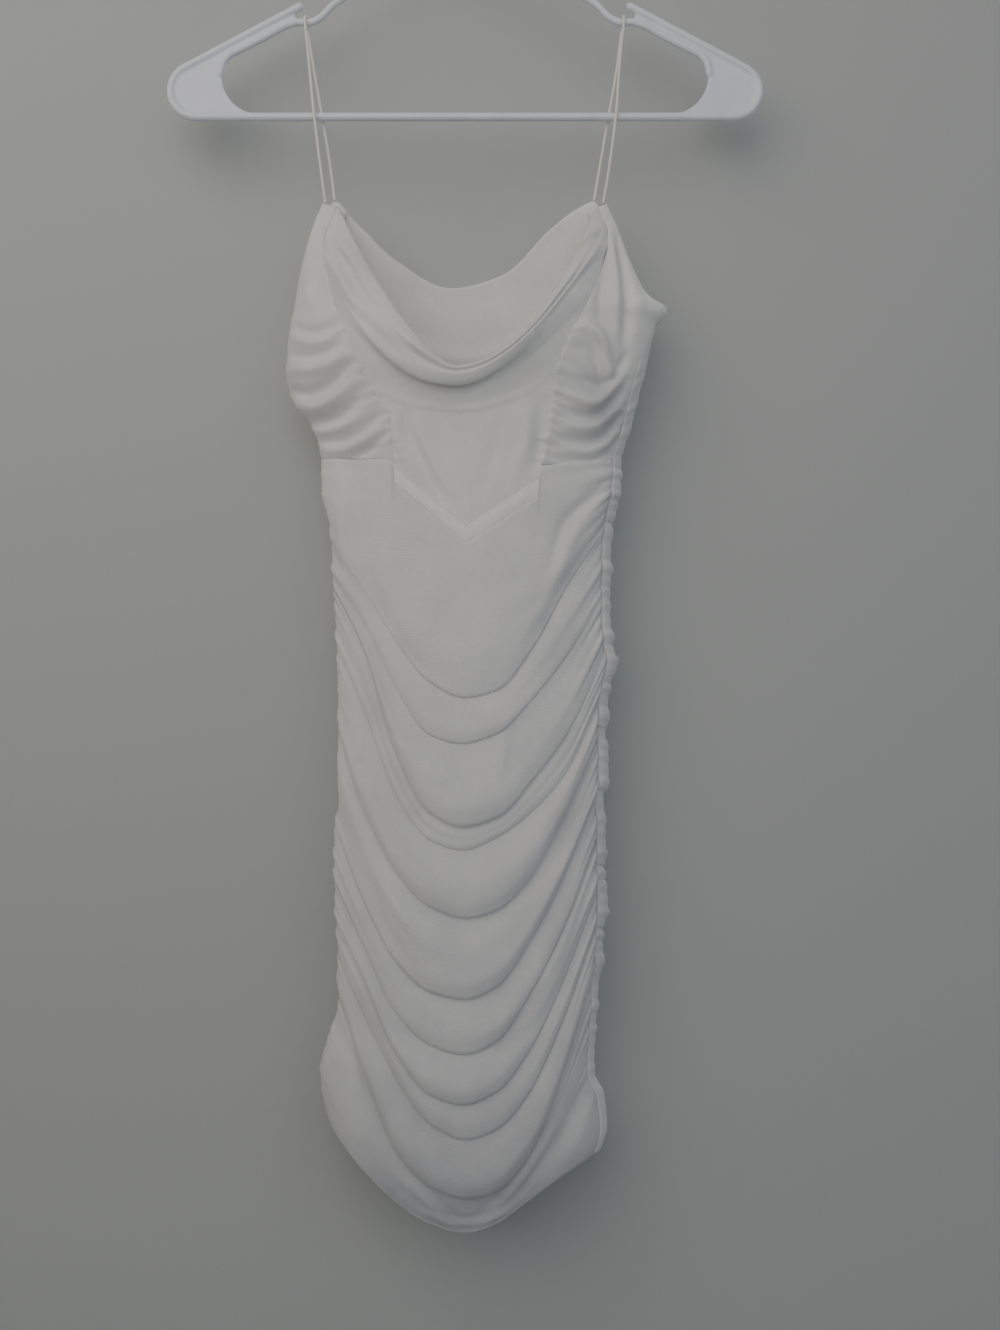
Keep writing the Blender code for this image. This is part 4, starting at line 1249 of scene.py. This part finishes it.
def stitches(name, lines, tree, material, size):
    """Stitches along lines of points: their spacing, length and thickness in millimetres."""
    points, edges = [], []
    for line in lines:
        first = len(points)
        points += (np.asarray(line) * MM).tolist()
        edges += [(first + k, first + k + 1) for k in range(len(line) - 1)]
    mesh = bpy.data.meshes.new(name)
    mesh.from_pydata(points, edges, [])
    made = new_object(name, mesh)
    maker = made.modifiers.new("stitches", "NODES")
    maker.node_group = tree
    values = dict(zip(("Spacing", "Length", "Thickness"), (part * MM for part in size)))
    values["Material"] = material
    for item in tree.interface.items_tree:
        if item.in_out == "INPUT" and item.name in values:
            maker[item.identifier] = values[item.name]
    applied(made)
    made.data.shade_smooth()
    return made


def off_cloth(points, row, gap):
    """A line along one row of a grid, raised off the cloth."""
    along = np.gradient(points, axis=1)[row]
    down = np.gradient(points, axis=0)[row]
    normal = np.cross(down, along)
    normal /= np.maximum(np.linalg.norm(normal, axis=1), 1e-9)[:, None]
    return points[row] + gap * normal


# ---------------------------------------------------------------- the hanger


def hanger_mesh():
    """The moulding's tubes and webs, run together with small fillets as a mould makes them."""
    tip_x = HANGER_WIDTH / 2.0 - BAR_RADIUS - TIP_BEND
    tip_height = BAR_HEIGHT + TIP_BEND
    turns = np.linspace(ARM_SLOPE, math.pi, 25)
    arc_x, arc_height = tip_x + TIP_BEND * np.sin(turns), tip_height + TIP_BEND * np.cos(turns)
    arc = np.stack([arc_x, 0.0 * turns, arc_height], axis=1)
    rise = (arc[0, 0] - NUB_X) * math.tan(ARM_SLOPE)
    half = np.vstack([[(NUB_X, 0.0, arc[0, 2] + rise)], arc])
    mirror = np.array((-1.0, 1.0, 1.0))
    frame_path = np.vstack([half * mirror, half[::-1]])
    parts = [new_object("frame", tube_mesh("frame", densify(frame_path, 4.0), BAR_RADIUS))]
    strand = [(-x, 0.0, z) for x, z in STRAND] + [(0.0, 0.0, NECK_HEIGHT)]
    strand += [(x, 0.0, z) for x, z in STRAND[::-1]]
    parts.append(new_object("strand", tube_mesh("strand", smooth_path(strand, 8), STRAND_RADIUS)))
    hook = [(x, 0.0, z) for x, z in STEM]
    for t in np.radians(np.linspace(*HOOK_ARC, 22)):
        rise = HOOK_RADIUS - HOOK_BEND + HOOK_BEND * math.sin(t)
        hook.append((HOOK_BEND * math.cos(t), 0.0, rise))
    parts.append(new_object("hook", tube_mesh("hook", smooth_path(hook, 5), HOOK_RADIUS)))
    for side in (-1.0, 1.0):
        parts.append(web(side, tip_x, tip_height))
    return moulded("hanger_moulding", parts)


def densify(path, step):
    found = []
    for a, b in zip(path, path[1:]):
        count = max(1, int(np.linalg.norm(b - a) / step))
        found += [mix(a, b, k / count) for k in range(count)]
    return np.array(found + [path[-1]])


def web(side, tip_x, tip_height):
    """The thin plate that fills a hanger tip, with a round hollow towards the middle."""
    outline = [WEB_START]
    for turn in np.linspace(ARM_SLOPE, math.pi, 17):
        outline.append((tip_x + TIP_BEND * math.sin(turn), tip_height + TIP_BEND * math.cos(turn)))
    for turn in np.radians(np.linspace(*WEB_HOLE_ARC, 25)):
        x = WEB_HOLE_X + WEB_HOLE_RADIUS * math.cos(turn)
        outline.append((x, WEB_HOLE_HEIGHT + WEB_HOLE_RADIUS * math.sin(turn)))
    outline += WEB_CORNERS
    count = len(outline)
    half = WEB_THICKNESS / 2.0
    points = [(side * x * MM, y * MM, z * MM) for y in (-half, half) for x, z in outline]
    faces = [tuple(range(count)), tuple(range(2 * count - 1, count - 1, -1))]
    faces += [(k, k + count, (k + 1) % count + count, (k + 1) % count) for k in range(count)]
    if side > 0.0:
        faces = [face[::-1] for face in faces]
    mesh = bpy.data.meshes.new("web")
    mesh.from_pydata(points, [], faces)
    mesh.update()
    return new_object("web", mesh)


def moulded(name, parts):
    """The parts joined, remeshed and smoothed, so that small fillets run between them."""
    bpy.ops.object.select_all(action="DESELECT")
    for part in parts:
        part.select_set(True)
    bpy.context.view_layer.objects.active = parts[0]
    bpy.ops.object.join()
    whole = parts[0]
    whole.name = name
    remesh = whole.modifiers.new("skin", "REMESH")
    remesh.mode = "VOXEL"
    remesh.voxel_size = FILLET_VOXEL * MM
    soft = whole.modifiers.new("soft", "SMOOTH")
    soft.factor = 0.5
    soft.iterations = 6
    applied(whole)
    whole.data.shade_smooth()
    return whole


# ---------------------------------------------------------------- make the pieces

ivory_mesh = stretch_mesh("power mesh, ivory, warp-knitted", "#A9ABB0", "#F8F6F1")
doubled_mesh = stretch_mesh("power mesh, ivory, turned and doubled", "#F6F4EC", "#FFFDF6")
ivory_cord = cord_material()
white_plastic = hanger_material()
ivory_thread = thread_material()


def ride(piece, slot, *nodes):
    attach(piece, "root")
    if nodes:
        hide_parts(*nodes)


skirt_points, skirt_left, skirt_right = front_skirt()
# Painted shade: besides the thinner cloth near the hem, the skirt is painted darker towards the hem,
# where the light falls off; it is also lighter along the left seam and darker along the right.
cover_and_painted_light = column(SKIRT_COVER_AND_SHADE, "share", skirt_points[..., 2])
cover_and_painted_light = cover_and_painted_light + 0.12 * fades(skirt_left, 30.0) - 0.04 * fades(skirt_right, 35.0)
sewn = skirt_points
for edge in ("top", "left", "right"):
    sewn, cover_and_painted_light = widen(sewn, cover_and_painted_light, edge)
skirt = cloth("skirt_front", sewn, ivory_mesh, cover_and_painted_light=cover_and_painted_light)
ride(skirt, "mesh_cloth", "front_skirt")

back_points, back_left, back_right = back_cloth()
# Painted light: by the right seam the back is painted lighter above ARM_SHADE, where the cloth by the
# arm turns away from the lamps, and darker below it; it is also darker along the left seam.
arm_painted_light = step_up(back_points[..., 2], ARM_SHADE, 6.0)
cover_and_painted_light = BACK_COVER - 0.15 * fades(back_left, 25.0)
cover_and_painted_light = cover_and_painted_light - 0.15 * (1.0 - 2.0 * arm_painted_light) * fades(back_right, 25.0)
back = cloth("back_cloth", back_points, ivory_mesh, cover_and_painted_light=cover_and_painted_light)
ride(back, "mesh_cloth", "back_panel")

centre_points, centre_height, centre_x = centre_front()
facing_low = column(FACING_EDGE, "height", centre_x, "x")
# Painted shade: the centre front is painted darker above the facing's lower edge, under the cowl's
# lip.
cover_and_painted_light = CENTRE_COVER - COWL_PAINTED_SHADE * step_up(centre_height, facing_low, 1.2)
centre = cloth("cowl_front", centre_points, ivory_mesh, cover_and_painted_light=cover_and_painted_light)
ride(centre, "mesh_cloth", "centre_front")

cups = {}
for name, seam, folds, side in (
    ("cup_left", LEFT_CUP_SEAM, LEFT_CUP_FOLDS, -1),
    ("cup_right", RIGHT_CUP_SEAM, RIGHT_CUP_FOLDS, 1),
):
    inner, outer = ("right", "left") if side < 0 else ("left", "right")
    sewn = cup(seam, folds, side)
    x, height = sewn[..., 0], sewn[..., 2]
    # Painted shade: clear marks a patch low on the right cup, under its ruffle, which is painted
    # darker.
    clear = np.exp(-(((x - 98.0) / 15.0) ** 2) - ((height + 436.0) / 24.0) ** 2)
    # Painted light: the right cup's upper outer edge by the arm is painted lighter, where it turns
    # away from the lamps.
    arm_painted_light = step_up(x, 108.0, 4.0) * step_up(height, ARM_SHADE, 6.0)
    cover_and_painted_light = CUP_COVER - 0.45 * clear + 0.3 * arm_painted_light
    for edge, steps in ((outer, ALLOWANCE), (inner, CUP_ALLOWANCE)):
        sewn, cover_and_painted_light = widen(sewn, cover_and_painted_light, edge, steps)
    cups[name] = cloth("gathered_" + name, sewn, ivory_mesh, cover_and_painted_light=cover_and_painted_light)
    ride(cups[name], "mesh_cloth", name)

band_points = band()
seam_band = cloth("seam_band", band_points, doubled_mesh, wall=BAND_WALL)
ride(seam_band, "doubled_cloth", "underbust_band")

for name, places in (("strap_left", LEFT_STRAP), ("strap_right", RIGHT_STRAP)):
    tube = tube_mesh("cord_" + name, smooth_path(places, 12), CORD_RADIUS)
    strap = painted(new_object("cord_" + name, tube), ivory_cord)
    ride(strap, "strap_cord", name)

hanger = painted(hanger_mesh(), white_plastic)
ride(hanger, "hanger_plastic", "hanger")

tree = stitch_tree()
hem_lines = [off_cloth(points, -4, STITCH_GAP) for points in (skirt_points, back_points)]
hem_stitches = stitches("hem_stitches", hem_lines, tree, ivory_thread, HEM_STITCH)
ride(hem_stitches, "doubled_cloth")
band_lines = [off_cloth(band_points, row, STITCH_GAP) for row in (1, -2)]
band_stitches = stitches("band_stitches", band_lines, tree, ivory_thread, BAND_STITCH)
ride(band_stitches, "doubled_cloth")

# ---------------------------------------------------------------- stage, light and camera


def backdrop(name, corners, material):
    corners = (np.array(corners) * MM).tolist()
    mesh = bpy.data.meshes.new(name)
    mesh.from_pydata(corners, [], [(0, 1, 2, 3)])
    return painted(new_object(name, mesh), material)


sides = (-STAGE_HALF, STAGE_HALF)
wall = backdrop(
    "backdrop",
    [(x, WALL_Y, FLOOR) for x in sides] + [(x, WALL_Y, WALL_TOP) for x in sides[::-1]],
    stage_material("matt paint, pale grey-green", "#AFB2B0"),
)
wall.visible_shadow = False
floor = backdrop(
    "floor",
    [(x, sides[0], FLOOR) for x in sides] + [(x, sides[1], FLOOR) for x in sides[::-1]],
    stage_material("matt paint, pale grey", "#C6C7C4"),
)


def area_light(name, place, aim, size, power, colour):
    data = bpy.data.lights.new(name, "AREA")
    data.shape = "DISK"
    data.size = size
    data.energy = power
    data.color = linear(colour)[:3]
    made = new_object(name, data)
    made.location = place
    away = np.array(aim) - np.array(place)
    flat_reach = math.hypot(away[0], away[1])
    made.rotation_euler = (math.atan2(flat_reach, -away[2]), 0.0, math.atan2(-away[0], away[1]))
    return made


area_light("window", (-0.5, -0.95, 0.15), (0.0, 0.0, -0.25), 1.6, 9.2, "#FFF6EA")
area_light("room", (0.9, -2.0, 0.1), (0.0, 0.0, -0.6), 2.4, 9.5, "#DFE7F8")
area_light("rear", (0.6, 1.6, 0.4), (0.0, 0.0, -0.6), 1.6, 12.0, "#F2F1EC")
world = bpy.data.worlds.new("room light")
bpy.context.scene.world = world
world.use_nodes = True
sky = world.node_tree.nodes["Background"]
fill(world.node_tree, sky, {"Color": linear("#D9DDE2"), "Strength": 0.26})

CAMERA_PLACE = (24.6, -800.0, -606.5)
VIEW_HEIGHT = 935.7
SENSOR = 36.0
camera_data = bpy.data.cameras.new("camera")
camera_data.sensor_fit = "VERTICAL"
camera_data.sensor_height = SENSOR
camera_data.lens = SENSOR * -CAMERA_PLACE[1] / VIEW_HEIGHT
camera = new_object("camera", camera_data)
camera.location = [c * MM for c in CAMERA_PLACE]
camera.rotation_euler = (math.radians(90.0), 0.0, 0.0)
bpy.context.scene.camera = camera
